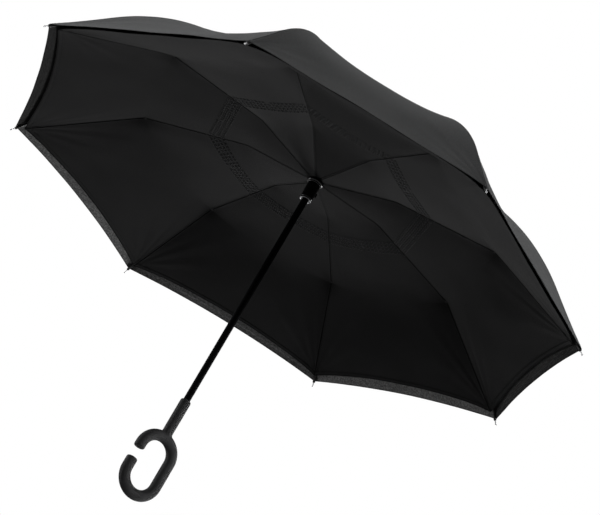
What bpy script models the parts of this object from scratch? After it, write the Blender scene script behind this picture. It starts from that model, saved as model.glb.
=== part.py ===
"""Inverted umbrella, standing open: a Blender 4.5 script in metres, with +Z up.

The origin is on the shaft's axis, where the handle's stem meets its C loop, and the loop
opens towards +X. Rib 1 lies over +X, and the other ribs follow at equal steps. The links of
each rib are drawn in the rib's own plane, X out from the shaft and Z up, and each plane is
an empty turned about the shaft. The hub, where the inner canopy meets the runner, is the
height that the canopy's rises and drops are counted from.
"""

import math

import bmesh
import bpy
from mathutils import Matrix

RIB_COUNT = 8
RIB_STEP = math.tau / RIB_COUNT
HALF_STEP = RIB_STEP / 2

# Clearances
GAP = 0.0003
CUT_OVERRUN = 0.01
WELD_DISTANCE = 0.000001

# Shaft
SHAFT_DIAMETER = 0.0115
SHAFT_WALL = 0.0009
SHAFT_REACH = 0.454
SHAFT_ABOVE_CROWN = 0.008

# Handle
STEM_LENGTH = 0.063
STEM_DIAMETER = 0.0174
STEM_EDGE = 0.0025
SOCKET_DEPTH = 0.050
LOOP_TUBE = 0.0186
LOOP_RADIUS = 0.030
LOOP_STRAIGHT = 0.044
LOOP_ARM_DROP = 0.0082
LOOP_MOUTH = 0.0194
LOOP_END_EDGE = 0.0022
END_RECESS_LENGTH = 0.0088
END_RECESS_WIDTH = 0.0046
END_RECESS_DEPTH = 0.0015

# Canopy, measured from the hub
FABRIC_THICKNESS = 0.001
CLAMP_RADIUS = 0.0092
INNER_FLAT_RADIUS = 0.019
INNER_RISE_RADIUS = 0.141
INNER_RISE = 0.017
INNER_DROP = 0.005
INNER_SAG = 0.009
INNER_HEM_SCALLOP = 0.014
INNER_CORNER_INSET = 0.016
OUTER_SAG = 0.017
OUTER_HEM_SCALLOP = 0.010
CROWN_FLAT_RADIUS = 0.020
GORE_JOINT = 0.0006
RIDGE_FALL = 0.0013
GORE_SHARES = (-1.0, -0.5, 0.0, 0.5, 1.0)

# Rib linkage, measured from the hub
RIB_PIVOT_RADIUS = 0.016
JOINT_RADIUS = 0.333
KNEE_RADIUS = 0.285
KNEE_RISE = 0.0745
CROWN_PIVOT_RADIUS = 0.0135
CROWN_RISE = 0.110
TIP_RADIUS = 0.530
TIP_DROP = 0.116

# Links
LINK_DEPTH = 0.005
RIB_WIDTH = 0.004
TONGUE_WIDTH = 0.0018
TONGUE_LENGTH = 0.024
ELBOW_WIDTH = 0.005
STRUT_WIDTH = 0.008
STRUT_TANG_LENGTH = 0.030
STRUT_WEB_LENGTH = 0.040
EYE_RADIUS = 0.0036
WIRE_EYE_RADIUS = 0.0030
PIN_RADIUS = 0.0011
PIN_CLEARANCE = 0.0003
WIRE_RADIUS = 0.0008
WIRE_CLEARANCE = 0.0006
ROD_DIAMETER = 0.0032
ROD_START = 0.0024
# Places on the bow from the knee to the tip: shares of its reach and of its fall
BOW_SHARES = (
    (0.0, 0.0),
    (0.13, 0.06),
    (0.25, 0.13),
    (0.37, 0.22),
    (0.49, 0.335),
    (0.61, 0.47),
    (0.80, 0.735),
    (1.0, 1.0),
)
BOW_SAG_SHARES = (0.45, 0.65, 0.85, 1.0, 1.0, 0.85, 0.45, 0.0)
CROWN_SAG_SHARES = (0.0, 0.0, 0.25)
INNER_SAG_SHARES = (0.0, 0.0, 0.5, 0.8, 1.0, 0.5, -1.1)

# Rib tips
TIP_SLEEVE_LENGTH = 0.012
TIP_SLEEVE_WALL = 0.0006
TIP_FLOOR = 0.001
TIP_PIN_LENGTH = 0.0085
TIP_PIN_RADIUS = 0.0012

# Crown
CROWN_RADIUS = 0.017
CROWN_HEIGHT = 0.012
CROWN_CORE_RADIUS = 0.0102
CAP_RADIUS = 0.019
CAP_RIM_HEIGHT = 0.0025
CAP_NECK_RADIUS = 0.0098
CAP_TOP_RADIUS = 0.0075
CAP_HEIGHT = 0.020
CAP_EDGE = 0.0015

# Runner
RUNNER_TUBE_WALL = 0.0010
NOTCH_RADIUS = 0.0185
NOTCH_HEIGHT = 0.012
NOTCH_CORE_RADIUS = 0.0125
RUNNER_LENGTH = 0.0385
FLANGE_RADIUS = 0.0150
FLANGE_HEIGHT = 0.0068
FLANGE_EDGE = 0.0024
COLLAR_GROOVE_RADIUS = 0.0098
COLLAR_GROOVE_HEIGHT = 0.0012
SLEEVE_TOP_RADIUS = 0.0114
SLEEVE_FOOT_RADIUS = 0.0104
RING_RADIUS = 0.0102
RING_HEIGHT = 0.0032
RING_EDGE = 0.0008

# Runner button
BUTTON_DROP = 0.024
BUTTON_WIDTH = 0.0062
BUTTON_HEIGHT = 0.0102
BUTTON_STAND = 0.0019
BUTTON_FLANGE_LIP = 0.0014
BUTTON_FLANGE_SIDE_LIP = 0.0003
BUTTON_FLANGE_THICKNESS = 0.0006
BUTTON_TRAVEL = 0.0012
SPRING_THICKNESS = 0.0003
SPRING_WIDTH = 0.0036
SPRING_LENGTH = 0.0084

# Facets
TURN_STEPS = 32
SMALL_TURN_STEPS = 12
ARC_STEPS = 5
EDGE_STEPS = 3
LOOP_STEPS = 12
TUBE_RESOLUTION = 5
ROD_RESOLUTION = 1
WIRE_TURN_SEGMENTS = 32
WIRE_SIDE_SEGMENTS = 6

# Worked out from the sizes above
SHAFT_RADIUS = SHAFT_DIAMETER / 2
SHAFT_BORE = SHAFT_RADIUS + GAP
HUB_HEIGHT = STEM_LENGTH + SHAFT_REACH
FABRIC_HALF = FABRIC_THICKNESS / 2
SEAT = FABRIC_HALF + GAP
RIB_PIVOT_RISE = SEAT + NOTCH_HEIGHT / 2
JOINT_RISE = SEAT + EYE_RADIUS - INNER_DROP
OUTER_KNEE_LIFT = EYE_RADIUS + SEAT + RIDGE_FALL
TIP_SLEEVE_RADIUS = ROD_DIAMETER / 2 + GAP + TIP_SLEEVE_WALL
KNEE_TO_TIP = TIP_RADIUS - KNEE_RADIUS
KNEE_TO_TIP_FALL = KNEE_RISE + TIP_DROP
CROWN_TOP_RISE = CROWN_RISE + CROWN_HEIGHT / 2
CROWN_FABRIC_RISE = CROWN_TOP_RISE + SEAT
CAP_FOOT_RISE = CROWN_FABRIC_RISE + SEAT
SHAFT_TOP_RISE = CAP_FOOT_RISE + SHAFT_ABOVE_CROWN
RUNNER_TUBE_RADIUS = SHAFT_BORE + RUNNER_TUBE_WALL
SLEEVE_BORE = RUNNER_TUBE_RADIUS + GAP
WIRE_HOLE_RADIUS = WIRE_RADIUS + WIRE_CLEARANCE
PIN_HOLE_RADIUS = PIN_RADIUS + PIN_CLEARANCE
SLOT_WIDTH = RIB_WIDTH + 2 * GAP
FORK_OPENING = ELBOW_WIDTH + 2 * GAP
CLEVIS_OPENING = TONGUE_WIDTH + 2 * GAP


def clear_scene():
    for thing in list(bpy.data.objects):
        bpy.data.objects.remove(thing, do_unlink=True)


def collection(name, helper=False):
    made = bpy.data.collections.new(name)
    made.hide_render = helper
    bpy.context.scene.collection.children.link(made)
    return made


clear_scene()
PARTS = collection("inverted_umbrella")
CUTTERS = collection("cutters", helper=True)


def material(name, colour, roughness, metallic=0.0):
    made = bpy.data.materials.new(name)
    made.use_nodes = True
    made.diffuse_color = (*colour, 1.0)
    shader = made.node_tree.nodes["Principled BSDF"]
    shader.inputs["Base Color"].default_value = (*colour, 1.0)
    shader.inputs["Roughness"].default_value = roughness
    shader.inputs["Metallic"].default_value = metallic
    return made


def empty(name, height=0.0, turn=0.0):
    obj = bpy.data.objects.new(name, None)
    obj.empty_display_size = SHAFT_DIAMETER
    obj.location.z = height
    obj.rotation_euler.z = turn
    CUTTERS.objects.link(obj)
    return obj


def draft(mesh):
    """A helper object for a mesh or curve: drawn as wire and never rendered."""
    obj = bpy.data.objects.new(mesh.name, mesh)
    obj.hide_render = True
    obj.display_type = "WIRE"
    CUTTERS.objects.link(obj)
    return obj


def piece(name, mesh, finish, parent=None, place=(0, 0, 0)):
    """A visible sub-part, with a material of its own, placed under its parent."""
    obj = bpy.data.objects.new(name, mesh)
    PARTS.objects.link(obj)
    if not mesh.materials:
        mesh.materials.append(None)
    obj.material_slots[0].link = "OBJECT"
    obj.material_slots[0].material = finish
    obj.parent = parent
    obj.location = place
    return obj


def welded(mesh):
    """The mesh with doubled points joined and its faces turned outwards."""
    shape = bmesh.new()
    shape.from_mesh(mesh)
    bmesh.ops.remove_doubles(shape, verts=shape.verts, dist=WELD_DISTANCE)
    bmesh.ops.recalc_face_normals(shape, faces=shape.faces)
    shape.to_mesh(mesh)
    shape.free()
    return mesh


def baked(obj):
    """The mesh that a helper's curve or modifiers make; the helper itself is removed."""
    bpy.context.view_layer.update()
    graph = bpy.context.evaluated_depsgraph_get()
    mesh = bpy.data.meshes.new_from_object(obj.evaluated_get(graph))
    mesh.name = obj.name
    bpy.data.objects.remove(obj)
    return welded(mesh)


def combined(mesh, others, operation):
    obj = draft(mesh)
    helpers = [draft(other) for other in others]
    for helper in helpers:
        modifier = obj.modifiers.new(helper.name, "BOOLEAN")
        modifier.operation = operation
        modifier.solver = "EXACT"
        modifier.object = helper
    made = baked(obj)
    for helper in helpers:
        bpy.data.objects.remove(helper)
    return made


def cut_from(mesh, *cutters):
    return combined(mesh, cutters, "DIFFERENCE")


def joined(mesh, *others):
    """The mesh and the others, which it overlaps, as one solid."""
    return combined(mesh, others, "UNION")


def box(name, low, high):
    """A box between two corners."""
    shape = bmesh.new()
    bmesh.ops.create_cube(shape, size=1.0)
    size = [b - a for a, b in zip(low, high)]
    centre = [(a + b) / 2 for a, b in zip(low, high)]
    bmesh.ops.scale(shape, vec=size, verts=shape.verts)
    bmesh.ops.translate(shape, vec=centre, verts=shape.verts)
    mesh = bpy.data.meshes.new(name)
    shape.to_mesh(mesh)
    shape.free()
    return mesh


def turned(name, profile, steps=TURN_STEPS, closed=True):
    """A profile of (radius, height) points turned about Z by a Screw modifier."""
    mesh = bpy.data.meshes.new(name)
    count = len(profile)
    edges = [(i, (i + 1) % count) for i in range(count if closed else count - 1)]
    mesh.from_pydata([(radius, 0, height) for radius, height in profile], edges, [])
    obj = draft(mesh)
    screw = obj.modifiers.new("Turn", "SCREW")
    screw.steps = steps
    screw.render_steps = steps
    screw.use_merge_vertices = True
    screw.merge_threshold = WELD_DISTANCE
    return baked(obj)


def tube_profile(bore, radius, foot, top):
    return [(bore, foot), (radius, foot), (radius, top), (bore, top)]


def arc(centre, radius, start, end, steps=ARC_STEPS):
    """Points of an arc about the centre, from one angle to the other."""
    angles = [start + (end - start) * i / steps for i in range(steps + 1)]
    return [(centre[0] + radius * math.cos(a), centre[1] + radius * math.sin(a)) for a in angles]


def circle(centre, radius):
    return arc(centre, radius, 0, math.tau, SMALL_TURN_STEPS)[:-1]


def plate(name, outline, holes, thickness):
    """A plate standing in the XZ plane: a filled 2D curve with its holes, extruded."""
    curve = bpy.data.curves.new(name, "CURVE")
    curve.dimensions = "2D"
    curve.fill_mode = "BOTH"
    curve.extrude = thickness / 2
    for loop in (outline, *holes):
        spline = curve.splines.new("POLY")
        spline.points.add(len(loop) - 1)
        spline.use_cyclic_u = True
        for point, (x, z) in zip(spline.points, loop):
            point.co = (x, z, 0, 1)
    mesh = baked(draft(curve))
    mesh.transform(Matrix.Rotation(math.pi / 2, 4, "X"))
    return mesh


def bar(name, path, diameter, resolution):
    """A round bar along a path of (x, z) points, with filled ends."""
    curve = bpy.data.curves.new(name, "CURVE")
    curve.dimensions = "3D"
    curve.bevel_depth = diameter / 2
    curve.bevel_resolution = resolution
    curve.use_fill_caps = True
    spline = curve.splines.new("POLY")
    spline.points.add(len(path) - 1)
    for point, (x, z) in zip(spline.points, path):
        point.co = (x, 0, z, 1)
    return baked(draft(curve))


def wire_ring(name, radius):
    bpy.ops.mesh.primitive_torus_add(
        major_radius=radius,
        minor_radius=WIRE_RADIUS,
        major_segments=WIRE_TURN_SEGMENTS,
        minor_segments=WIRE_SIDE_SEGMENTS,
    )
    made = bpy.context.object
    mesh = made.data
    mesh.name = name
    bpy.data.objects.remove(made)
    return mesh


def minus(a, b):
    return (a[0] - b[0], a[1] - b[1])


def moved(point, direction, distance):
    return (point[0] + direction[0] * distance, point[1] + direction[1] * distance)


def between(a, b, share):
    return (a[0] + (b[0] - a[0]) * share, a[1] + (b[1] - a[1]) * share)


def heading(a, b):
    """The angle in the rib's plane from one point towards another."""
    return math.atan2(b[1] - a[1], b[0] - a[0])


def unit(a, b):
    angle = heading(a, b)
    return (math.cos(angle), math.sin(angle))


def left_of(direction):
    return (-direction[1], direction[0])


# Places in the rib's plane, measured from the hub
RIB_PIVOT = (RIB_PIVOT_RADIUS, RIB_PIVOT_RISE)
JOINT = (JOINT_RADIUS, JOINT_RISE)
KNEE = (KNEE_RADIUS, KNEE_RISE)
CROWN_PIVOT = (CROWN_PIVOT_RADIUS, CROWN_RISE)
TIP = (TIP_RADIUS, -TIP_DROP)
BOW = [(KNEE[0] + KNEE_TO_TIP * a, KNEE[1] - KNEE_TO_TIP_FALL * b) for a, b in BOW_SHARES]
TIP_ANGLE = heading(BOW[-2], TIP)
TIP_FABRIC_LIFT = (TIP_SLEEVE_RADIUS + SEAT) / math.cos(TIP_ANGLE)
# The loop of the handle, from the origin
UPPER_BEND = (0, -LOOP_TUBE / 2 - LOOP_RADIUS)
LOWER_BEND = (0, UPPER_BEND[1] - LOOP_STRAIGHT)
UPPER_ARM_END = (LOOP_RADIUS, UPPER_BEND[1] - LOOP_ARM_DROP)
LOWER_ARM_END = (LOOP_RADIUS, UPPER_ARM_END[1] - LOOP_MOUTH)


def link_outline(path, eyes):
    """The outline of a link along a path, with a round eye of the given radius at each end."""
    first = heading(path[0], path[1])
    last = heading(path[-2], path[-1])
    along = left_of(unit(path[0], path[-1]))
    onward = unit(path[0], path[1])
    back = unit(path[-1], path[-2])
    side = LINK_DEPTH / 2
    near_start = moved(path[0], onward, 2 * eyes[0])
    near_end = moved(path[-1], back, 2 * eyes[1])
    return [
        *arc(path[0], eyes[0], first + math.pi / 3, first + 5 * math.pi / 3),
        moved(near_start, left_of(onward), -side),
        *[moved(point, along, -side) for point in path[1:-1]],
        moved(near_end, left_of(back), side),
        *arc(path[-1], eyes[1], last - 2 * math.pi / 3, last + 2 * math.pi / 3),
        moved(near_end, left_of(back), -side),
        *[moved(point, along, side) for point in reversed(path[1:-1])],
        moved(near_start, left_of(onward), side),
    ]


def slot_along(name, start, end, width, depth):
    """A box in the rib's plane from one point to another, for cutting a slot or a cheek."""
    length = math.dist(start, end)
    mesh = box(name, (0, -width / 2, -depth / 2), (length, width / 2, depth / 2))
    mesh.transform(Matrix.Rotation(-heading(start, end), 4, "Y"))
    mesh.transform(Matrix.Translation((start[0], 0, start[1])))
    return mesh


def cheeks(name, start, end, inner, outer, depth):
    """Two boxes beside a link's middle plane: what they cut leaves a web of the inner width."""
    for side in (-1, 1):
        mesh = slot_along(name, start, end, outer / 2, depth)
        mesh.transform(Matrix.Translation((0, side * (inner / 2 + outer / 4), 0)))
        yield mesh


def lower_rib():
    """The rib that swings on the runner: a flat bar, thinned to a tongue at the joint."""
    over_rise = (INNER_RISE_RADIUS, INNER_RISE + SEAT + LINK_DEPTH / 2)
    path = [minus(point, RIB_PIVOT) for point in (RIB_PIVOT, over_rise, JOINT)]
    outline = link_outline(path, (WIRE_EYE_RADIUS, EYE_RADIUS))
    holes = [circle(path[0], WIRE_HOLE_RADIUS), circle(path[-1], PIN_HOLE_RADIUS)]
    flat = plate("lower_rib", outline, holes, RIB_WIDTH)
    onward = unit(path[-2], path[-1])
    root = moved(path[-1], onward, -TONGUE_LENGTH)
    beyond = moved(path[-1], onward, 2 * EYE_RADIUS)
    sides = cheeks("tongue_cheek", root, beyond, TONGUE_WIDTH, RIB_WIDTH, 2 * LINK_DEPTH)
    return cut_from(flat, *sides)


def outer_rib():
    """The elbow from the joint to the knee with the joint's pin, and the bow to the tip."""
    joint = (0, 0)
    knee = minus(KNEE, JOINT)
    outline = link_outline([joint, knee], (EYE_RADIUS, EYE_RADIUS))
    flat = plate("outer_rib", outline, [circle(knee, PIN_HOLE_RADIUS)], ELBOW_WIDTH)
    before = moved(joint, unit(joint, knee), -2 * EYE_RADIUS)
    fork_root = moved(joint, unit(joint, knee), TONGUE_LENGTH)
    slot = slot_along("clevis_slot", before, fork_root, CLEVIS_OPENING, 2 * LINK_DEPTH)
    half_pin = ELBOW_WIDTH / 2 - GAP
    pin_profile = [(0, -half_pin), (PIN_RADIUS, -half_pin), (PIN_RADIUS, half_pin), (0, half_pin)]
    pin = turned("joint_pin", pin_profile, SMALL_TURN_STEPS, closed=False)
    pin.transform(Matrix.Rotation(math.pi / 2, 4, "X"))
    bow = [minus(point, JOINT) for point in BOW]
    bow[0] = moved(bow[0], unit(bow[0], bow[1]), ROD_START)
    bow[-1] = moved(bow[-1], unit(bow[-2], bow[-1]), -TIP_FLOOR - GAP)
    return joined(cut_from(flat, slot), pin, bar("bow", bow, ROD_DIAMETER, ROD_RESOLUTION))


def strut():
    """The strut from the crown to the knee: a tang in the crown, then a fork of two bars."""
    crown = (0, 0)
    knee = minus(KNEE, CROWN_PIVOT)
    outward = unit(crown, knee)
    outline = link_outline([crown, knee], (WIRE_EYE_RADIUS, EYE_RADIUS))
    holes = [circle(crown, WIRE_HOLE_RADIUS), circle(knee, PIN_HOLE_RADIUS)]
    flat = plate("strut", outline, holes, STRUT_WIDTH)
    before = moved(crown, outward, -2 * EYE_RADIUS)
    tang_root = moved(crown, outward, STRUT_TANG_LENGTH)
    fork_root = moved(crown, outward, STRUT_WEB_LENGTH)
    beyond = moved(knee, outward, 2 * EYE_RADIUS)
    sides = cheeks("tang_cheek", before, tang_root, RIB_WIDTH, STRUT_WIDTH, 2 * LINK_DEPTH)
    slot = slot_along("fork_slot", fork_root, beyond, FORK_OPENING, 2 * LINK_DEPTH)
    return cut_from(flat, *sides, slot)


def rib_tip():
    """The metal cap on the bow's end, with its pin, drawn along its own Z."""
    bore = ROD_DIAMETER / 2 + GAP
    nose = arc((0, TIP_PIN_LENGTH - TIP_PIN_RADIUS), TIP_PIN_RADIUS, 0, math.pi / 2, EDGE_STEPS)
    profile = [
        (0, -TIP_FLOOR),
        (bore, -TIP_FLOOR),
        (bore, -TIP_SLEEVE_LENGTH),
        (TIP_SLEEVE_RADIUS, -TIP_SLEEVE_LENGTH),
        (TIP_SLEEVE_RADIUS, -TIP_FLOOR),
        (TIP_PIN_RADIUS, 0),
        *nose[:-1],
        (0, TIP_PIN_LENGTH),
    ]
    return turned("rib_tip", profile, SMALL_TURN_STEPS, closed=False)


def gore_point(station, share):
    """A point beside the rib: share runs from the rib at 0 to the middle of the gore at 1."""
    (radius, rise), forward, sag, scallop = station
    bend = abs(share) * (2 - abs(share))
    side = math.copysign(1, share)
    outward = (forward[1] * sag - forward[0] * scallop) * bend
    x = radius * (1 - abs(share) * math.sin(HALF_STEP) ** 2) + outward * math.cos(HALF_STEP)
    y = radius * abs(share) * math.sin(HALF_STEP) * math.cos(HALF_STEP)
    z = rise - (forward[0] * sag + forward[1] * scallop) * bend
    return (x, side * (y + outward * math.sin(HALF_STEP)), z)


def stations(places, sags, hem_scallop):
    """Each place on the seam, with the seam's direction there, its sag and its scallop."""
    last = len(places) - 1
    for i, place in enumerate(places):
        forward = unit(places[max(i - 1, 0)], places[min(i + 1, last)])
        yield place, forward, sags[i], hem_scallop if i == last else 0


def fabric(name, rows, cyclic=False):
    """A sheet through rows of points, given its thickness by a Solidify modifier."""
    width = len(rows[0])
    reach = width if cyclic else width - 1
    faces = [
        (a * width + b, a * width + (b + 1) % width, (a + 1) * width + (b + 1) % width, (a + 1) * width + b)
        for a in range(len(rows) - 1)
        for b in range(reach)
    ]
    mesh = bpy.data.meshes.new(name)
    mesh.from_pydata([point for row in rows for point in row], [], faces)
    obj = draft(welded(mesh))
    solidify = obj.modifiers.new("Thickness", "SOLIDIFY")
    solidify.thickness = FABRIC_THICKNESS
    solidify.offset = 0
    return baked(obj)


def gore_rows(seam):
    """Rows of points from half a gore on one side of the rib to half a gore on the other."""
    rows = []
    for station in seam:
        edge = 1 - GORE_JOINT / 2 / (station[0][0] * math.sin(HALF_STEP))
        rows.append([gore_point(station, share * edge) for share in GORE_SHARES])
    return rows


def inner_canopy():
    """One rib's share of the inner canopy, from its seat in the hub to the hem."""
    rise = (INNER_RISE_RADIUS, INNER_RISE)
    fold = (JOINT_RADIUS, -INNER_DROP)
    corner = (TIP_RADIUS, -TIP_DROP - TIP_FABRIC_LIFT)
    end = moved(corner, unit(corner, fold), INNER_CORNER_INSET)
    places = [
        (CLAMP_RADIUS, 0),
        (INNER_FLAT_RADIUS, 0),
        rise,
        between(rise, fold, 0.5),
        fold,
        between(fold, end, 0.5),
        end,
    ]
    sags = [INNER_SAG * share for share in INNER_SAG_SHARES]
    mesh = fabric("inner_canopy", gore_rows(stations(places, sags, INNER_HEM_SCALLOP)))
    mesh.transform(Matrix.Translation((-RIB_PIVOT[0], 0, -RIB_PIVOT[1])))
    return mesh


def seam_over_bow():
    """The outer canopy's seam, which lies on the knee's eye, the bow and the tip's sleeve."""
    for (reach_share, _), (radius, rise) in zip(BOW_SHARES, BOW):
        yield radius, rise + OUTER_KNEE_LIFT + (TIP_FABRIC_LIFT - OUTER_KNEE_LIFT) * reach_share


def outer_stations():
    """The stations of the whole outer seam: those up to the knee, then those from it on."""
    bow = list(seam_over_bow())
    flat = (CROWN_FLAT_RADIUS, CROWN_FABRIC_RISE)
    places = [(CLAMP_RADIUS, CROWN_FABRIC_RISE), flat, between(flat, bow[0], 0.5), *bow]
    sags = [OUTER_SAG * share for share in CROWN_SAG_SHARES + BOW_SAG_SHARES]
    whole = list(stations(places, sags, OUTER_HEM_SCALLOP))
    knee = len(CROWN_SAG_SHARES)
    place, forward, sag, scallop = whole[knee]
    before = (moved(place, forward, -GORE_JOINT / 2), forward, sag, scallop)
    after = (moved(place, forward, GORE_JOINT / 2), forward, sag, scallop)
    return [*whole[:knee], before], [after, *whole[knee + 1 :]]


def outer_canopy():
    """One rib's share of the outer canopy, from the knee over the bow to the hem."""
    mesh = fabric("outer_canopy", gore_rows(outer_stations()[1]))
    mesh.transform(Matrix.Translation((-JOINT[0], 0, -JOINT[1])))
    return mesh


def outer_canopy_crown():
    """The middle of the outer canopy, from its seat under the cap to the knees."""
    rows = []
    for station in outer_stations()[0]:
        half = [gore_point(station, share) for share in GORE_SHARES[:-1]]
        ring = [turned_point(point, i * RIB_STEP) for i in range(RIB_COUNT) for point in half]
        rows.append(ring)
    return fabric("outer_canopy_crown", rows, cyclic=True)


def turned_point(point, angle):
    x, y, z = point
    return (x * math.cos(angle) - y * math.sin(angle), x * math.sin(angle) + y * math.cos(angle), z)


def shaft():
    foot = STEM_LENGTH - SOCKET_DEPTH + GAP
    top = HUB_HEIGHT + SHAFT_TOP_RISE
    return turned("shaft", tube_profile(SHAFT_RADIUS - SHAFT_WALL, SHAFT_RADIUS, foot, top))


def loop_tube():
    """The C of the handle: a tube round two half turns, open on the +X side."""
    path = [
        UPPER_ARM_END,
        *arc(UPPER_BEND, LOOP_RADIUS, 0, math.pi, LOOP_STEPS),
        *arc(LOWER_BEND, LOOP_RADIUS, math.pi, math.tau, LOOP_STEPS),
        LOWER_ARM_END,
    ]
    obj = draft(bar("loop", path, LOOP_TUBE, TUBE_RESOLUTION))
    edge = obj.modifiers.new("Rounded ends", "BEVEL")
    edge.limit_method = "ANGLE"
    edge.angle_limit = math.pi / 3
    edge.width = LOOP_END_EDGE
    edge.segments = EDGE_STEPS
    return baked(obj)


def end_recess():
    """The small oval pocket in the end face of the upper arm."""
    profile = [(0, 0), (END_RECESS_LENGTH / 2, 0), (END_RECESS_LENGTH / 2, 1), (0, 1)]
    mesh = turned("end_recess", profile, SMALL_TURN_STEPS, closed=False)
    height = END_RECESS_DEPTH + CUT_OVERRUN
    mesh.transform(Matrix.Diagonal((1, END_RECESS_WIDTH / END_RECESS_LENGTH, height, 1)))
    x, z = UPPER_ARM_END
    mesh.transform(Matrix.Translation((x, 0, z - CUT_OVERRUN)))
    return mesh


def c_handle():
    """The moulded handle: the stem, with its socket for the shaft, and the C loop."""
    stem_radius = STEM_DIAMETER / 2
    edge_centre = (stem_radius - STEM_EDGE, STEM_LENGTH - STEM_EDGE)
    rounding = arc(edge_centre, STEM_EDGE, 0, math.pi / 2, EDGE_STEPS)
    profile = [(0, -LOOP_TUBE / 2), (stem_radius, -LOOP_TUBE / 2), *rounding, (0, STEM_LENGTH)]
    stem = turned("c_handle", profile, closed=False)
    floor = STEM_LENGTH - SOCKET_DEPTH
    top = STEM_LENGTH + CUT_OVERRUN
    socket_profile = [(0, floor), (SHAFT_BORE, floor), (SHAFT_BORE, top), (0, top)]
    socket = turned("socket", socket_profile, closed=False)
    return cut_from(joined(stem, loop_tube()), socket, end_recess())


def radial_slots(name, core, foot, top):
    """Eight boxes, one for each rib, from a core radius outwards."""
    shape = bmesh.new()
    slot = box(name, (core, -SLOT_WIDTH / 2, foot), (core + CUT_OVERRUN, SLOT_WIDTH / 2, top))
    for i in range(RIB_COUNT):
        copy = slot.copy()
        copy.transform(Matrix.Rotation(i * RIB_STEP, 4, "Z"))
        shape.from_mesh(copy)
    shape.to_mesh(slot)
    shape.free()
    return slot


def wire_groove(pivot_radius, rise):
    """The groove round a notched disc that its wire lies in."""
    half = WIRE_RADIUS + GAP
    profile = tube_profile(pivot_radius - half, pivot_radius + CUT_OVERRUN, rise - half, rise + half)
    return turned("wire_groove", profile)


def crown_notch():
    """The fixed notched disc on the shaft that the struts hang from."""
    foot = CROWN_RISE - CROWN_HEIGHT / 2
    disc = turned("crown_notch", tube_profile(SHAFT_BORE, CROWN_RADIUS, foot, CROWN_TOP_RISE))
    slots = radial_slots(
        "crown_slots", CROWN_CORE_RADIUS, foot - CUT_OVERRUN, CROWN_TOP_RISE + CUT_OVERRUN
    )
    return cut_from(disc, slots, wire_groove(CROWN_PIVOT_RADIUS, CROWN_RISE))


def ferrule_cap():
    """The cap on the shaft's top, whose rim holds the outer canopy on the notch."""
    foot = CAP_FOOT_RISE
    top = foot + CAP_HEIGHT
    rim_top = foot + CAP_RIM_HEIGHT
    ceiling = SHAFT_TOP_RISE + GAP
    profile = [
        (0, ceiling),
        (SHAFT_BORE, ceiling),
        (SHAFT_BORE, foot),
        (CAP_RADIUS, foot),
        (CAP_RADIUS, rim_top - CAP_EDGE),
        (CAP_RADIUS - CAP_EDGE, rim_top),
        (CAP_NECK_RADIUS, rim_top + CAP_EDGE),
        *arc((CAP_TOP_RADIUS - CAP_EDGE, top - CAP_EDGE), CAP_EDGE, 0, math.pi / 2, EDGE_STEPS),
        (0, top),
    ]
    return turned("ferrule_cap", profile, closed=False)


def runner_core():
    """The runner's tube on the shaft and the notched disc that the lower ribs hinge in."""
    top = SEAT + NOTCH_HEIGHT
    profile = [
        (SHAFT_BORE, -RUNNER_LENGTH),
        (RUNNER_TUBE_RADIUS, -RUNNER_LENGTH),
        (RUNNER_TUBE_RADIUS, SEAT),
        (NOTCH_RADIUS, SEAT),
        (NOTCH_RADIUS, top),
        (SHAFT_BORE, top),
    ]
    core = turned("runner_core", profile)
    slots = radial_slots("runner_slots", NOTCH_CORE_RADIUS, -CUT_OVERRUN, top + CUT_OVERRUN)
    return cut_from(core, slots, wire_groove(RIB_PIVOT_RADIUS, RIB_PIVOT_RISE))


BUTTON_RISE = -BUTTON_DROP
BUTTON_SEAT_RADIUS = SLEEVE_FOOT_RADIUS - 2 * BUTTON_FLANGE_THICKNESS + GAP


def obround(width, height):
    """An upright shape with straight sides and half-round ends."""
    bend = (height - width) / 2
    upper = arc((0, bend), width / 2, 0, math.pi)
    lower = arc((0, -bend), width / 2, math.pi, math.tau)
    return upper + lower


def towards_button(mesh):
    """Turns a plate's thickness, drawn along Y, to lie along X at the button's height."""
    mesh.transform(Matrix.Rotation(math.pi / 2, 4, "Z"))
    mesh.transform(Matrix.Translation((0, 0, BUTTON_RISE)))
    return mesh


def button_solid(name, clearance, face, back):
    """The button's cap and flange as a solid, grown by a clearance, between two radii."""
    outline = obround(BUTTON_WIDTH + 2 * clearance, BUTTON_HEIGHT + 2 * clearance)
    cap = towards_button(plate(name, outline, [], face - back))
    cap.transform(Matrix.Translation((-(face + back) / 2, 0, 0)))
    return cap


def button_flange(name, clearance, face, back):
    half_width = BUTTON_WIDTH / 2 + BUTTON_FLANGE_SIDE_LIP + clearance
    half_height = BUTTON_HEIGHT / 2 + BUTTON_FLANGE_LIP + clearance
    low = (-face, -half_width, BUTTON_RISE - half_height)
    high = (-back, half_width, BUTTON_RISE + half_height)
    return box(name, low, high)


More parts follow.
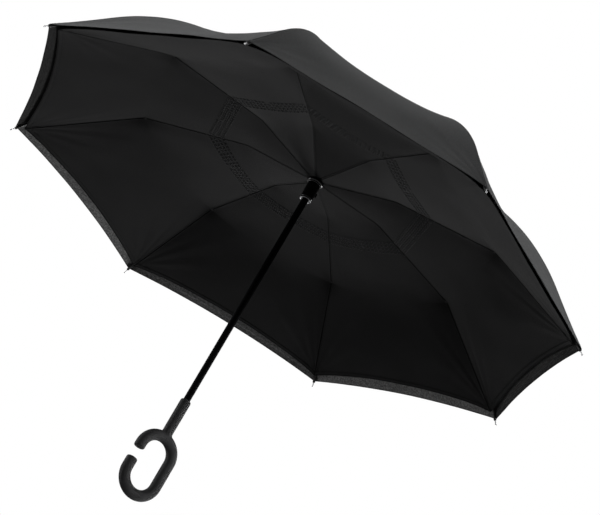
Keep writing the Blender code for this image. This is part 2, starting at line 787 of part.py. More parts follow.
def runner_sleeve():
    """The runner's cover: a glossy flange under the inner canopy, then a tapered sleeve."""
    flange_foot = -SEAT - FLANGE_HEIGHT
    rim = flange_foot - COLLAR_GROOVE_HEIGHT
    edge_radius = FLANGE_RADIUS - FLANGE_EDGE
    low_centre = (edge_radius, flange_foot + FLANGE_EDGE)
    high_centre = (edge_radius, -SEAT - FLANGE_EDGE)
    lower_edge = arc(low_centre, FLANGE_EDGE, -math.pi / 2, 0, EDGE_STEPS)
    upper_edge = arc(high_centre, FLANGE_EDGE, 0, math.pi / 2, EDGE_STEPS)
    profile = [
        (SLEEVE_BORE, -RUNNER_LENGTH),
        (SLEEVE_FOOT_RADIUS, -RUNNER_LENGTH),
        (SLEEVE_TOP_RADIUS, rim),
        (COLLAR_GROOVE_RADIUS, rim),
        (COLLAR_GROOVE_RADIUS, flange_foot),
        *lower_edge,
        *upper_edge,
        (SLEEVE_BORE, -SEAT),
    ]
    sleeve = turned("runner_sleeve", profile)
    window = button_solid("window", GAP, SLEEVE_TOP_RADIUS + CUT_OVERRUN, SHAFT_RADIUS)
    pocket = button_flange("pocket", GAP, BUTTON_SEAT_RADIUS + GAP, SHAFT_RADIUS)
    return cut_from(sleeve, window, pocket)


def runner_button():
    """The catch's button: an obround cap, with a flange behind it inside the sleeve."""
    back = BUTTON_SEAT_RADIUS - BUTTON_FLANGE_THICKNESS
    cap = button_solid("runner_button", 0, SLEEVE_TOP_RADIUS + BUTTON_STAND, back + GAP)
    return joined(cap, button_flange("flange", 0, BUTTON_SEAT_RADIUS, back))


def button_spring():
    """A bowed leaf between the runner's tube and the button's flange."""
    flange_back = BUTTON_SEAT_RADIUS - BUTTON_FLANGE_THICKNESS
    bow = flange_back - RUNNER_TUBE_RADIUS - 2 * GAP - SPRING_THICKNESS
    half = SPRING_LENGTH / 2
    radius = (half**2 + bow**2) / (2 * bow)
    spread = math.asin(half / radius)
    centre = (-(flange_back - GAP - SPRING_THICKNESS / 2) + radius, BUTTON_RISE)
    outer = arc(centre, radius + SPRING_THICKNESS / 2, math.pi - spread, math.pi + spread)
    inner = arc(centre, radius - SPRING_THICKNESS / 2, math.pi + spread, math.pi - spread)
    return plate("button_spring", outer + inner, [], SPRING_WIDTH)


def runner_ring():
    """The bright ring under the sleeve."""
    top = -RUNNER_LENGTH - GAP
    foot = top - RING_HEIGHT
    profile = [
        (SHAFT_BORE, foot),
        (RING_RADIUS - RING_EDGE, foot),
        (RING_RADIUS, foot + RING_EDGE),
        (RING_RADIUS, top - RING_EDGE),
        (RING_RADIUS - RING_EDGE, top),
        (SHAFT_BORE, top),
    ]
    return turned("runner_ring", profile)


def fixed_pieces(finish):
    """What stays still on the shaft and the handle."""
    crown = empty("crown_centre", HUB_HEIGHT)
    piece("c_handle", c_handle(), finish["soft_touch"])
    piece("shaft", shaft(), finish["shaft_black"])
    piece("crown_notch", crown_notch(), finish["black_plastic"], crown)
    piece("ferrule_cap", ferrule_cap(), finish["black_plastic"], crown)
    wire = wire_ring("crown_wire", CROWN_PIVOT_RADIUS)
    piece("crown_wire", wire, finish["steel"], crown, (0, 0, CROWN_RISE))
    piece("outer_canopy_crown", outer_canopy_crown(), finish["outer_fabric"], crown)


def runner_pieces(finish):
    """What slides on the shaft, on an empty at the hub."""
    runner = empty("runner_axis", HUB_HEIGHT)
    piece("runner_core", runner_core(), finish["black_plastic"], runner)
    piece("runner_sleeve", runner_sleeve(), finish["gloss_black"], runner)
    piece("runner_ring", runner_ring(), finish["chrome"], runner)
    piece("runner_button", runner_button(), finish["gloss_black"], runner)
    piece("button_spring", button_spring(), finish["steel"], runner)
    wire = wire_ring("runner_wire", RIB_PIVOT_RADIUS)
    piece("runner_wire", wire, finish["steel"], runner, (0, 0, RIB_PIVOT_RISE))


def rib_pieces(finish):
    """The links, the tips and the canopies' shares of all ribs, each in its own plane."""
    meshes = {
        "lower_rib": lower_rib(),
        "outer_rib": outer_rib(),
        "strut": strut(),
        "rib_tip": rib_tip(),
        "inner_canopy": inner_canopy(),
        "outer_canopy": outer_canopy(),
    }
    places = {"lower_rib": RIB_PIVOT, "inner_canopy": RIB_PIVOT, "strut": CROWN_PIVOT}
    finishes = {
        "lower_rib": "steel",
        "outer_rib": "rod_black",
        "strut": "steel",
        "rib_tip": "chrome",
        "inner_canopy": "inner_fabric",
        "outer_canopy": "outer_fabric",
    }
    for i in range(RIB_COUNT):
        plane = empty(f"rib_plane_{i + 1}", HUB_HEIGHT, i * RIB_STEP)
        for kind, mesh in meshes.items():
            x, z = places.get(kind, TIP if kind == "rib_tip" else JOINT)
            made = piece(f"{kind}_{i + 1}", mesh, finish[finishes[kind]], plane, (x, 0, z))
            if kind == "rib_tip":
                made.rotation_euler.y = math.pi / 2 - TIP_ANGLE


def main():
    finish = {
        "outer_fabric": material("outer_fabric", (0.045, 0.046, 0.048), 0.85),
        "inner_fabric": material("inner_fabric", (0.014, 0.014, 0.015), 0.9),
        "soft_touch": material("soft_touch", (0.022, 0.022, 0.023), 0.55),
        "shaft_black": material("shaft_black", (0.008, 0.008, 0.008), 0.35, 0.2),
        "black_plastic": material("black_plastic", (0.012, 0.012, 0.012), 0.45),
        "gloss_black": material("gloss_black", (0.008, 0.008, 0.009), 0.15),
        "rod_black": material("rod_black", (0.015, 0.015, 0.015), 0.4),
        "steel": material("steel", (0.45, 0.45, 0.46), 0.35, 1.0),
        "chrome": material("chrome", (0.75, 0.75, 0.76), 0.18, 1.0),
    }
    fixed_pieces(finish)
    runner_pieces(finish)
    rib_pieces(finish)


main()
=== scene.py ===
"""An inverted umbrella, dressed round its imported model: a Blender 4.5 script in metres.

It is laid out as an add-on and run as a script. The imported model's rigid links stay and get
their finishes. The two canopies, the handle, the shaft, the runner's cover and the metal tips
are made here. Rib 1 lies over +X and the others follow at equal steps about +Z. A radius is
measured from the shaft's axis, and a rise from the hub, where the inner canopy meets the runner.
"""

import math
from collections import Counter

import bmesh
import bpy
from bpy.props import FloatProperty, FloatVectorProperty, IntProperty, PointerProperty
from bpy.types import Operator, Panel, PropertyGroup
from mathutils import Matrix, Vector, noise


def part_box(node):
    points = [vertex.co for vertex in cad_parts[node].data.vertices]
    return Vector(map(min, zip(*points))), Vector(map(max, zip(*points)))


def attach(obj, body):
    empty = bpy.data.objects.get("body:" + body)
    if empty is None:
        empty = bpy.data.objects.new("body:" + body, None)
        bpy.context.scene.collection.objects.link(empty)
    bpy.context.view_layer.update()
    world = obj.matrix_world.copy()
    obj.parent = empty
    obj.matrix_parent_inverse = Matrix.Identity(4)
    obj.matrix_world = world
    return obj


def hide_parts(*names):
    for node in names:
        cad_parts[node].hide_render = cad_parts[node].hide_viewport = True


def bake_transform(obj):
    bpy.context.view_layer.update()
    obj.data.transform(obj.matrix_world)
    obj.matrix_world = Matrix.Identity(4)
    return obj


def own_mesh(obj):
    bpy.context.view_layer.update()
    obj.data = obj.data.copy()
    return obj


bl_info = {
    "name": "Inverted umbrella",
    "version": (1, 0, 0),
    "blender": (4, 5, 0),
    "location": "View3D > Sidebar > Umbrella",
    "description": "Makes the canopies, handle, runner and finishes of an inverted umbrella",
    "category": "Add Mesh",
}

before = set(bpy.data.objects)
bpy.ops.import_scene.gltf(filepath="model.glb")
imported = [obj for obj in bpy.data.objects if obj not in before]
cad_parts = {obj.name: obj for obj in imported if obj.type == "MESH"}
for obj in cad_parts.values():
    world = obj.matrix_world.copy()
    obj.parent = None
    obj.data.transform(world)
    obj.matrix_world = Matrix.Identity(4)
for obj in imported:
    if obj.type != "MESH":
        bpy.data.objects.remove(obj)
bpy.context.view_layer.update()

RIBS = 8
STEP = math.tau / RIBS
HALF = STEP / 2
# Half a gore's straight width, as a share of its radius
CHORD = math.sin(HALF) * math.cos(HALF)
CAP_LOW, CAP_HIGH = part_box("ferrule_cap")
SHAFT_LOW, SHAFT_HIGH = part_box("shaft")
SLEEVE_LOW, SLEEVE_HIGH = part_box("runner_sleeve")
SHAFT_RADIUS = SHAFT_HIGH.x
# The cloth's clamp lies this far over the runner's sleeve
SEAT = 0.0008
HUB = SLEEVE_HIGH.z + SEAT

# The canopies' places, as radius and rise, repeated from the model
CLAMP = 0.0092
FLAT = 0.019
CREST = (0.141, 0.017)
MID_PANEL = (0.237, 0.006)
JOINT = (0.333, -0.005)
JOINT_PIVOT = (0.333, -0.0006)
KNEE = (0.285, 0.0745)
TIP = (0.530, -0.116)
CROWN_RISE = 0.1168
CROWN_FLAT = 0.020
BOW = (
    # share of the way out, share of the way down, sag of the cloth at mid-gore
    (0.0, 0.0, 0.0077),
    (0.13, 0.06, 0.0111),
    (0.25, 0.13, 0.0145),
    (0.37, 0.22, 0.017),
    (0.49, 0.335, 0.017),
    (0.61, 0.47, 0.0145),
    (0.80, 0.735, 0.0077),
    (1.0, 1.0, 0.0),
)
# The outer cloth lies this far over the bow, at the knee and at the tip
KNEE_LIFT = 0.0057
TIP_LIFT = 0.0034
# The inner cloth's corner lies under the tip and short of it
CORNER_DROP = 0.0021
CORNER = (TIP[0], TIP[1] - CORNER_DROP)
CORNER_INSET = 0.0185


# Settings


def length(name, description, default):
    return FloatProperty(
        name=name, description=description, default=default, min=0.0, unit="LENGTH", precision=5
    )


def share(name, description, default):
    return FloatProperty(
        name=name, description=description, default=default, min=0.0, max=1.0, subtype="FACTOR"
    )


def power(name, description, default):
    return FloatProperty(name=name, description=description, default=default, min=0.0, unit="POWER")


def colour(name, description, default):
    return FloatVectorProperty(
        name=name, description=description, default=default, size=3, min=0.0, max=1.0, subtype="COLOR"
    )


class UmbrellaCloth(PropertyGroup):
    inner: colour("Inner cloth", "Colour of the inner canopy", (0.0145, 0.0145, 0.0147))
    outer: colour("Outer cloth", "Colour of the outer canopy", (0.074, 0.075, 0.076))
    lining: colour("Lining", "Colour of the outer canopy's coated inside", (0.058, 0.058, 0.058))
    thread: colour("Thread", "Colour of stitching and ties", (0.006, 0.006, 0.006))
    thickness: length("Thickness", "Thickness of the cloth", 0.0005)
    weave: length("Weave", "Distance between two threads of the weave", 0.0006)
    stitch: length("Stitch", "Length of one stitch with its space", 0.0030)
    slub: length("Slub", "Length of the thicker places in the outer threads", 0.0035)


class UmbrellaCanopy(PropertyGroup):
    seam_width: length("Seam width", "Width of the folded seam over each rib", 0.0064)
    seam_height: length("Seam height", "How far the folded seam stands proud", 0.0005)
    hem_width: length("Hem width", "Width of the folded hem", 0.0080)
    hem_height: length("Hem height", "How far the folded hem stands proud", 0.0004)
    fold_depth: length("Fold depth", "Depth of the pulls that run out of each corner", 0.0024)
    slack: length("Slack", "Height of the soft waves in the cloth", 0.0014)
    vent_radius: length("Vent radius", "Where the vent's first row crosses the seams", 0.1870)
    vent_pitch: length("Vent pitch", "Distance between two eyelets of the vent", 0.0074)
    vent_rows: IntProperty(
        name="Vent rows", description="Rows of eyelets in each vent", default=4, min=1, max=8
    )
    eyelet_radius: length("Eyelet radius", "Radius of one worked eyelet", 0.0027)


class UmbrellaHandle(PropertyGroup):
    rubber: colour("Rubber", "Colour of the soft-touch handle", (0.025, 0.025, 0.0255))
    tube: length("Tube", "Thickness of the hand loop's tube", 0.0186)
    stem: length("Stem", "Thickness of the stem", 0.0180)
    shoulder: length("Shoulder", "Rounding of the stem's top", 0.0030)
    end_edge: length("End edge", "Rounding of the loop's two ends", 0.0022)
    voxel: length("Voxel", "Fineness of the moulding's mesh", 0.0008)
    fillet_passes: IntProperty(
        name="Fillet passes", description="Smoothing where the stem meets the loop", default=36, min=0
    )


class UmbrellaMetal(PropertyGroup):
    shaft: colour("Shaft", "Colour of the painted shaft", (0.0022, 0.0022, 0.0024))
    gloss: colour("Gloss plastic", "Colour of the runner's cover", (0.0015, 0.0015, 0.0017))
    plastic: colour("Plastic", "Colour of the notched discs and the cap", (0.012, 0.012, 0.012))
    rod: colour("Coated rod", "Colour of the outer ribs", (0.015, 0.015, 0.015))
    steel: colour("Steel", "Colour of the ribs, struts and wires", (0.13, 0.13, 0.135))
    chrome: colour("Chrome", "Colour of the runner's ring and rim", (0.085, 0.085, 0.088))
    nickel: colour("Nickel", "Colour of the ribs' pins", (0.28, 0.28, 0.285))


class UmbrellaStage(PropertyGroup):
    floor: colour("Floor", "Colour of the floor", (0.80, 0.80, 0.80))
    floor_glow: share("Floor glow", "How pale the camera sees the floor beyond its own colour", 0.70)
    floor_drop: length("Floor drop", "How far the floor lies under the handle's origin", 4.5)
    floor_radius: length("Floor radius", "Reach of the floor", 60.0)
    ambient: share("Ambient", "Light of the world on the umbrella", 0.12)
    right_power: power("Right lamp", "Power of the tall lamp at the right", 27.0)
    left_power: power("Left lamp", "Power of the tall lamp at the left", 28.5)
    low_power: power("Low lamp", "Power of the lamp behind, under the canopy", 26.0)
    back_power: power("Back lamp", "Power of the lamp behind at the left, under the canopy", 10.0)
    top_power: power("Top lamp", "Power of the lamp above", 13.0)
    grip_right_power: power("Right grip lamp", "Power of the aimed lamp at the handle's right", 0.50)
    grip_left_power: power("Left grip lamp", "Power of the aimed lamp at the handle's left", 0.05)
    spread: FloatProperty(
        name="Spread", description="How widely each lamp shines", default=1.4, min=0.1, subtype="ANGLE"
    )
    grip_spread: FloatProperty(
        name="Grip spread",
        description="How widely the grip lamps shine",
        default=0.3,
        min=0.1,
        subtype="ANGLE",
    )
    lens: FloatProperty(
        name="Lens", description="Focal length of the camera", default=128.4354, min=1.0, unit="CAMERA"
    )
    camera_place: FloatVectorProperty(
        name="Camera",
        description="Place of the camera",
        default=(1.3198799, 2.9230109, -1.1009344),
        size=3,
        subtype="TRANSLATION",
        unit="LENGTH",
    )
    camera_turn: FloatVectorProperty(
        name="Camera turn",
        description="Turn of the camera",
        default=(2.0617607, -0.4758568, 2.4644406),
        size=3,
        subtype="EULER",
        unit="ROTATION",
    )


# Profiles

# How widely a seam's turn, its sag and its rise beside a crease are evened out
TURN_WINDOW = 0.02
SAG_WINDOW = 0.03
CREASE_WINDOW = 0.002
# How fast a sag below zero comes in beside the rib
BULGE_POWER = 6
# How far the hems curve inwards between their corners, and where the outer cloth starts to
INNER_SCALLOP = 0.0155
OUTER_SCALLOP = 0.010
OUTER_HEM_FROM = 0.405
# How widely a canopy's line is rounded, at the rib and at mid-gore
INNER_WINDOWS = (0.030, 0.040)
OUTER_WINDOWS = (0.018, 0.018)


def value_at(table, x):
    """The value at x on the straight lines between a table's (x, value) points."""
    for (x0, v0), (x1, v1) in zip(table, table[1:]):
        if x <= x1:
            return v0 + (v1 - v0) * max(x - x0, 0.0) / (x1 - x0)
    return table[-1][1]


def area_to(table, x):
    """The area under the table from its start to x."""
    total = 0.0
    for (x0, v0), (x1, v1) in zip(table, table[1:]):
        if x <= x0:
            break
        end = min(x, x1)
        v_end = v0 + (v1 - v0) * (end - x0) / (x1 - x0)
        total += (v0 + v_end) / 2 * (end - x0)
    return total


def eased(table, x, window):
    """The table's mean over a window on both sides of x, which rounds its corners."""
    window = min(window, x - table[0][0], table[-1][0] - x)
    if window < 1e-5:
        return value_at(table, x)
    return (area_to(table, x + window) - area_to(table, x - window)) / (2 * window)


def risen(x, start, rise):
    """0 up to start, 1 from start + rise onwards, and a straight line between."""
    return max(0.0, min(1.0, (x - start) / rise))


def heading(a, b):
    return math.atan2(b[1] - a[1], b[0] - a[0])


def midway(a, b):
    return (a[0] + b[0]) / 2, (a[1] + b[1]) / 2


class Profile:
    """A canopy's seam from the hub to the corner, with how far the cloth sags beside it."""

    def __init__(self, rows, scallop, hem_from, creases, windows, facing):
        """rows are (radius, rise, sag at mid-gore). facing is -1 if the face that shows looks down."""
        last = len(rows) - 1
        self.rises = [row[:2] for row in rows]
        self.sags = [(radius, sag) for radius, _, sag in rows]
        self.turns = [
            (rows[i][0], heading(rows[max(i - 1, 0)], rows[min(i + 1, last)])) for i in range(last + 1)
        ]
        self.scallop = scallop
        self.hem_from = hem_from
        self.end = rows[-1][0]
        self.creases = creases
        self.windows = windows
        self.facing = facing

    def station(self, radius):
        """What every point of one row shares: radius, turn, sag and scallop."""
        ramp = max(0.0, (radius - self.hem_from) / (self.end - self.hem_from))
        turn = eased(self.turns, radius, TURN_WINDOW)
        return radius, turn, eased(self.sags, radius, SAG_WINDOW), self.scallop * ramp**2

    def window(self, radius, bend):
        """How widely the seam's corners are rounded: narrowly at its creases, but softly in mid-gore."""
        near, far = self.windows
        tight = min([near, *(abs(radius - crease) + CREASE_WINDOW for crease in self.creases)])
        return tight + (far - tight) * bend

    def point(self, station, share, proud):
        """A point in the rib's frame.

        share runs from the rib at 0 to mid-gore at 1 or -1, and proud is how far the point stands
        out of the face that shows.
        """
        radius, turn, sag, scallop = station
        part = abs(share)
        bend = part * (2 - part)
        droop = sag * (bend if sag > 0 else 1 - (1 - part) ** BULGE_POWER)
        rise = eased(self.rises, radius, self.window(radius, bend))
        level, steep = math.cos(turn), math.sin(turn)
        outward = steep * droop - level * scallop * bend
        lift = proud * self.facing
        out = -steep * lift
        x = radius * (1 - part * math.sin(HALF) ** 2)
        x += outward * math.cos(HALF) + out * math.cos(part * HALF)
        y = radius * part * CHORD + outward * math.sin(HALF) + out * math.sin(part * HALF)
        z = rise - level * droop - steep * scallop * bend + level * lift
        return Vector((x, math.copysign(y, share) if share else 0.0, z))


def inner_profile():
    angle = heading(CORNER, JOINT)
    end = (CORNER[0] + CORNER_INSET * math.cos(angle), CORNER[1] + CORNER_INSET * math.sin(angle))
    rows = (
        # radius, rise, sag at mid-gore
        (CLAMP, 0.0, 0.0),
        (FLAT, 0.0, 0.0),
        (*CREST, 0.0035),
        (*MID_PANEL, 0.0052),
        (*JOINT, 0.0062),
        (*midway(JOINT, end), 0.0032),
        (*end, -0.0068),
    )
    creases = (CREST[0], JOINT[0])
    return Profile(rows, INNER_SCALLOP, JOINT[0], creases, INNER_WINDOWS, facing=-1)


def bow_place(share):
    """A point of the outer rib's bow, from its shares of the way out and down from the knee."""
    return KNEE[0] + (TIP[0] - KNEE[0]) * share[0], KNEE[1] - (KNEE[1] - TIP[1]) * share[1]


def outer_profile():
    bow = []
    for share in BOW:
        radius, rise = bow_place(share)
        bow.append((radius, rise + KNEE_LIFT + (TIP_LIFT - KNEE_LIFT) * share[0], share[2]))
    flat = (CROWN_FLAT, CROWN_RISE)
    rows = (
        # radius, rise, sag at mid-gore
        (CLAMP, CROWN_RISE, 0.0),
        (*flat, 0.0),
        (*midway(flat, bow[0]), 0.0043),
        *bow,
    )
    return Profile(rows, OUTER_SCALLOP, OUTER_HEM_FROM, (), OUTER_WINDOWS, facing=1)


INNER = inner_profile()
OUTER = outer_profile()


# Meshes

# Edges that turn by more than this angle stay sharp
SHARP = 0.6


def new_object(name, mesh):
    obj = bpy.data.objects.new(name, mesh)
    bpy.context.scene.collection.objects.link(obj)
    return obj


def built(name, points, faces, finish, uvs=None, shades=None):
    """An object from points and faces, smooth-shaded, with UVs in metres and a shade for each point."""
    mesh = bpy.data.meshes.new(name)
    mesh.from_pydata(points, [], faces)
    if uvs:
        layer = mesh.uv_layers.new(name="metres")
        layer.data.foreach_set("uv", [c for loop in mesh.loops for c in uvs[loop.vertex_index]])
    if shades:
        mesh.attributes.new("shade", "FLOAT", "POINT").data.foreach_set("value", shades)
    mesh.shade_smooth()
    mesh.materials.append(finish)
    mesh.update()
    return new_object(name, mesh)


def smoothed(mesh, sharp=SHARP):
    mesh.shade_smooth()
    mesh.set_sharp_from_angle(angle=sharp)


def turned_outward(mesh):
    """Joins the points that coincide, and turns every face outward."""
    shape = bmesh.new()
    shape.from_mesh(mesh)
    bmesh.ops.remove_doubles(shape, verts=shape.verts, dist=1e-7)
    bmesh.ops.recalc_face_normals(shape, faces=shape.faces)
    shape.to_mesh(mesh)
    shape.free()


def crisp_rim(mesh):
    """Keeps the cut edges from bending the light on the faces of thickened cloth."""
    uses = Counter(key for face in mesh.polygons for key in face.edge_keys)
    for edge in mesh.edges:
        edge.use_edge_sharp = uses[edge.key] == 1


def grid_faces(rows, columns, flip=False, start=0):
    faces = []
    for a in range(rows - 1):
        for b in range(columns - 1):
            i = start + a * columns + b
            face = (i, i + columns, i + columns + 1, i + 1)
            faces.append(face[::-1] if flip else face)
    return faces


def ring_faces(rings, sides, start=0, closed=False):
    """The faces from each ring of points to the next, and from the last to the first if closed."""
    faces = []
    for k in range(rings if closed else rings - 1):
        a, b = start + k * sides, start + (k + 1) % rings * sides
        for j in range(sides):
            after = (j + 1) % sides
            faces.append((a + j, a + after, b + after, b + j))
    return faces


def lathe(name, profile, finish, steps=64):
    """A solid turned about the upright axis from (radius, height) points.

    The ends close on the axis, or on each other where neither lies on it.
    """
    points, uvs = [], []
    run = 0.0
    for k, (radius, height) in enumerate(profile):
        run += math.dist(profile[k - 1], (radius, height)) if k else 0.0
        for j in range(steps):
            angle = math.tau * j / steps
            points.append((radius * math.cos(angle), radius * math.sin(angle), height))
            uvs.append((angle * SHAFT_RADIUS, run))
    closed = profile[0][0] > 0 and profile[-1][0] > 0
    obj = built(name, points, ring_faces(len(profile), steps, closed=closed), finish, uvs)
    turned_outward(obj.data)
    smoothed(obj.data)
    return obj


def arc(centre, radius, start, end, steps=8):
    """Points on an arc from one angle to another."""
    angles = [start + (end - start) * k / steps for k in range(steps + 1)]
    return [(centre[0] + radius * math.cos(a), centre[1] + radius * math.sin(a)) for a in angles]


def applied(obj):
    """The object with its modifiers worked into its mesh."""
    graph = bpy.context.evaluated_depsgraph_get()
    graph.update()
    obj.data = bpy.data.meshes.new_from_object(
        obj.evaluated_get(graph), preserve_all_data_layers=True, depsgraph=graph
    )
    obj.modifiers.clear()
    return obj


def combined(obj, others, operation):
    """The object joined with the others, or cut by them."""
    for other in others:
        modifier = obj.modifiers.new(other.name, "BOOLEAN")
        modifier.operation = operation
        modifier.solver = "EXACT"
        modifier.object = other
    applied(obj)
    for other in others:
        bpy.data.objects.remove(other)
    return obj


# Finishes

# The range that most values of one noise fill, and of two noises added up
NOISE_RANGE = (0.3, 0.7)
TWO_NOISES_RANGE = (0.7, 1.3)
# Rows of stitches: their distance from the seam, half their width, and the thread's share of a stitch
STITCH_ROW = 0.0019
STITCH_WIDTH = 0.0003
STITCH_SHARE = 0.62
# How sharp an edge is where it starts to look rubbed, and where it is fully rubbed
RUBBED_EDGE = (0.56, 0.66)


class Finish:
    """A material whose nodes are added one by one."""

    def __init__(self, name, colour, metallic=0.0, roughness=0.5, specular=0.5):
        self.made = bpy.data.materials.new(name)
        self.made.use_nodes = True
        self.made.diffuse_color = (*colour, 1.0)
        self.tree = self.made.node_tree
        self.shader = self.tree.nodes["Principled BSDF"]
        self.colour = colour
        self.put("Base Color", (*colour, 1.0))
        self.put("Metallic", metallic)
        self.put("Roughness", roughness)
        self.put("Specular IOR Level", specular)

    def give(self, target, value):
        """Gives a socket its value, or a link where the value is another node's output."""
        if isinstance(value, bpy.types.NodeSocket):
            self.tree.links.new(value, target)
        else:
            target.default_value = value

    def put(self, socket, value):
        self.give(self.shader.inputs[socket], value)

    def add(self, kind, inputs=None, **settings):
        node = self.tree.nodes.new("ShaderNode" + kind)
        for key, value in settings.items():
            setattr(node, key, value)
        for key, value in (inputs or {}).items():
            self.give(node.inputs[key], value)
        return node

    def maths(self, operation, a, b=0.0, c=0.0):
        return self.add("Math", {0: a, 1: b, 2: c}, operation=operation).outputs[0]

    def product(self, first, *others):
        for other in others:
            first = self.maths("MULTIPLY", first, other)
        return first

    def noise(self, scale, where, detail=3.0, roughness=0.5):
        inputs = {"Scale": scale, "Detail": detail, "Roughness": roughness, "Vector": where}
        return self.add("TexNoise", inputs).outputs[0]

    def spread(self, value, low, high, from_low=0.0, from_high=1.0):
        inputs = {"Value": value, "From Min": from_low, "From Max": from_high}
        return self.add("MapRange", {**inputs, "To Min": low, "To Max": high}).outputs[0]

    def where(self):
        return self.add("TexCoord").outputs["Object"]

    def scaled_uv(self, across, along):
        uv = self.add("UVMap", uv_map="metres").outputs[0]
        return self.add("Mapping", {"Vector": uv, "Scale": (across, along, 1.0)}).outputs[0]

    def tinted(self, factor):
        """The finish's colour times a factor that changes over the surface."""
        grey = self.add("CombineColor", {0: factor, 1: factor, 2: factor}).outputs[0]
        inputs = {0: 1.0, 6: (*self.colour, 1.0), 7: grey}
        mix = self.add("Mix", inputs, data_type="RGBA", blend_type="MULTIPLY")
        self.put("Base Color", mix.outputs[2])

    def bump(self, height, distance, strength=1.0, below=None):
        inputs = {"Height": height, "Distance": distance, "Strength": strength}
        if below is not None:
            inputs["Normal"] = below
        normal = self.add("Bump", inputs).outputs[0]
        self.put("Normal", normal)
        return normal


def cloth(name, colour, settings, speckle, mottle, sheen, inside=False):
    """Woven cloth: two sets of threads, slubs, stitching beside the seams, and sheen.

    speckle and mottle are how much its colour varies from thread to thread and in wide clouds. The
    inside of coated cloth has a coarse grain, and painted light and shade of its own for each gore.
    """
    finish = Finish(name, colour, roughness=0.85, specular=0.01)
    finish.put("Sheen Weight", sheen)
    finish.put("Sheen Roughness", 0.45)
    uv = finish.add("UVMap", uv_map="metres").outputs[0]
    parts = finish.add("SeparateXYZ", {0: uv})
    across, along = parts.outputs[0], parts.outputs[1]
    turns = math.tau / settings.weave
    weave = finish.product(*(finish.maths("SINE", finish.product(axis, turns)) for axis in (across, along)))
    fine_scale, long_scale = 1 / settings.weave / 2, 1 / settings.slub
    warp = finish.noise(1.0, finish.scaled_uv(fine_scale, long_scale), detail=2.0)
    weft = finish.noise(1.0, finish.scaled_uv(long_scale, fine_scale), detail=2.0)
    slubs = finish.maths("ADD", warp, weft)
    clouds = finish.noise(7.0, finish.where())
    beside = finish.maths("COMPARE", finish.maths("ABSOLUTE", across), STITCH_ROW, STITCH_WIDTH)
    place = finish.maths("FRACT", finish.maths("DIVIDE", along, settings.stitch))
    stitch = finish.product(beside, finish.maths("LESS_THAN", place, STITCH_SHARE))
    tones = [
        finish.spread(slubs, 1 - speckle, 1 + speckle, *TWO_NOISES_RANGE),
        finish.spread(clouds, 1 - mottle, 1 + mottle, *NOISE_RANGE),
        # The shade attribute: the seams' dark thread, and painted light and shade of seams, folds, joints,
        # hems, eyelets and gores
        finish.add("Attribute", attribute_name="shade").outputs["Fac"],
        finish.spread(stitch, 1.0, 1.25),
    ]
    if inside:
        grain = finish.noise(300.0, finish.where(), roughness=0.7)
        # The lining's painted light and shade for each gore
        tones.append(finish.add("Attribute", attribute_name="inside").outputs["Fac"])
        tones.append(finish.spread(grain, 0.5, 1.5, 0.35, 0.65))
    finish.tinted(finish.product(*tones))
    finish.put("Roughness", finish.spread(slubs, 0.78, 0.92, *TWO_NOISES_RANGE))
    threads = finish.maths("MULTIPLY_ADD", slubs, 1.5, weave)
    fine = finish.bump(threads, distance=0.00006, strength=0.7)
    finish.bump(stitch, distance=0.00018, strength=0.8, below=fine)
    return finish.made


def moulded(name, colour, roughness, grain, grain_size, specular):
    """Moulded plastic or rubber: fine grain, uneven gloss, and paler rubbed edges."""
    finish = Finish(name, colour, roughness=roughness, specular=specular)
    where = finish.where()
    texture = finish.noise(1 / grain_size, where, detail=2.0)
    patches = finish.noise(55.0, where, detail=4.0, roughness=0.6)
    edges = finish.add("NewGeometry").outputs["Pointiness"]
    tone = finish.spread(patches, 0.88, 1.12, *NOISE_RANGE)
    finish.tinted(finish.maths("ADD", tone, finish.spread(edges, 0.0, 0.3, *RUBBED_EDGE)))
    finish.put("Roughness", finish.spread(patches, roughness * 0.85, roughness * 1.15, *NOISE_RANGE))
    finish.bump(texture, distance=grain, strength=0.8)
    return finish.made


def metal(name, colour, roughness, brushed, metallic, specular):
    """Metal or paint on it, with fine drawing lines along its length and small dull spots."""
    finish = Finish(name, colour, metallic, roughness, specular)
    where = finish.where()
    lines = finish.add("Mapping", {"Vector": where, "Scale": (2200.0, 2200.0, 60.0)}).outputs[0]
    drawn = finish.noise(1.0, lines, detail=2.0)
    spots = finish.noise(180.0, where, detail=4.0, roughness=0.65)
    finish.tinted(finish.spread(finish.maths("ADD", drawn, spots), 0.82, 1.12, *TWO_NOISES_RANGE))
    finish.put("Roughness", finish.spread(spots, roughness * 0.8, roughness * 1.25, *NOISE_RANGE))
    finish.bump(drawn, distance=brushed, strength=0.6)
    return finish.made


# Every finish by its name, made by the finishes' operator
FINISHES = {}


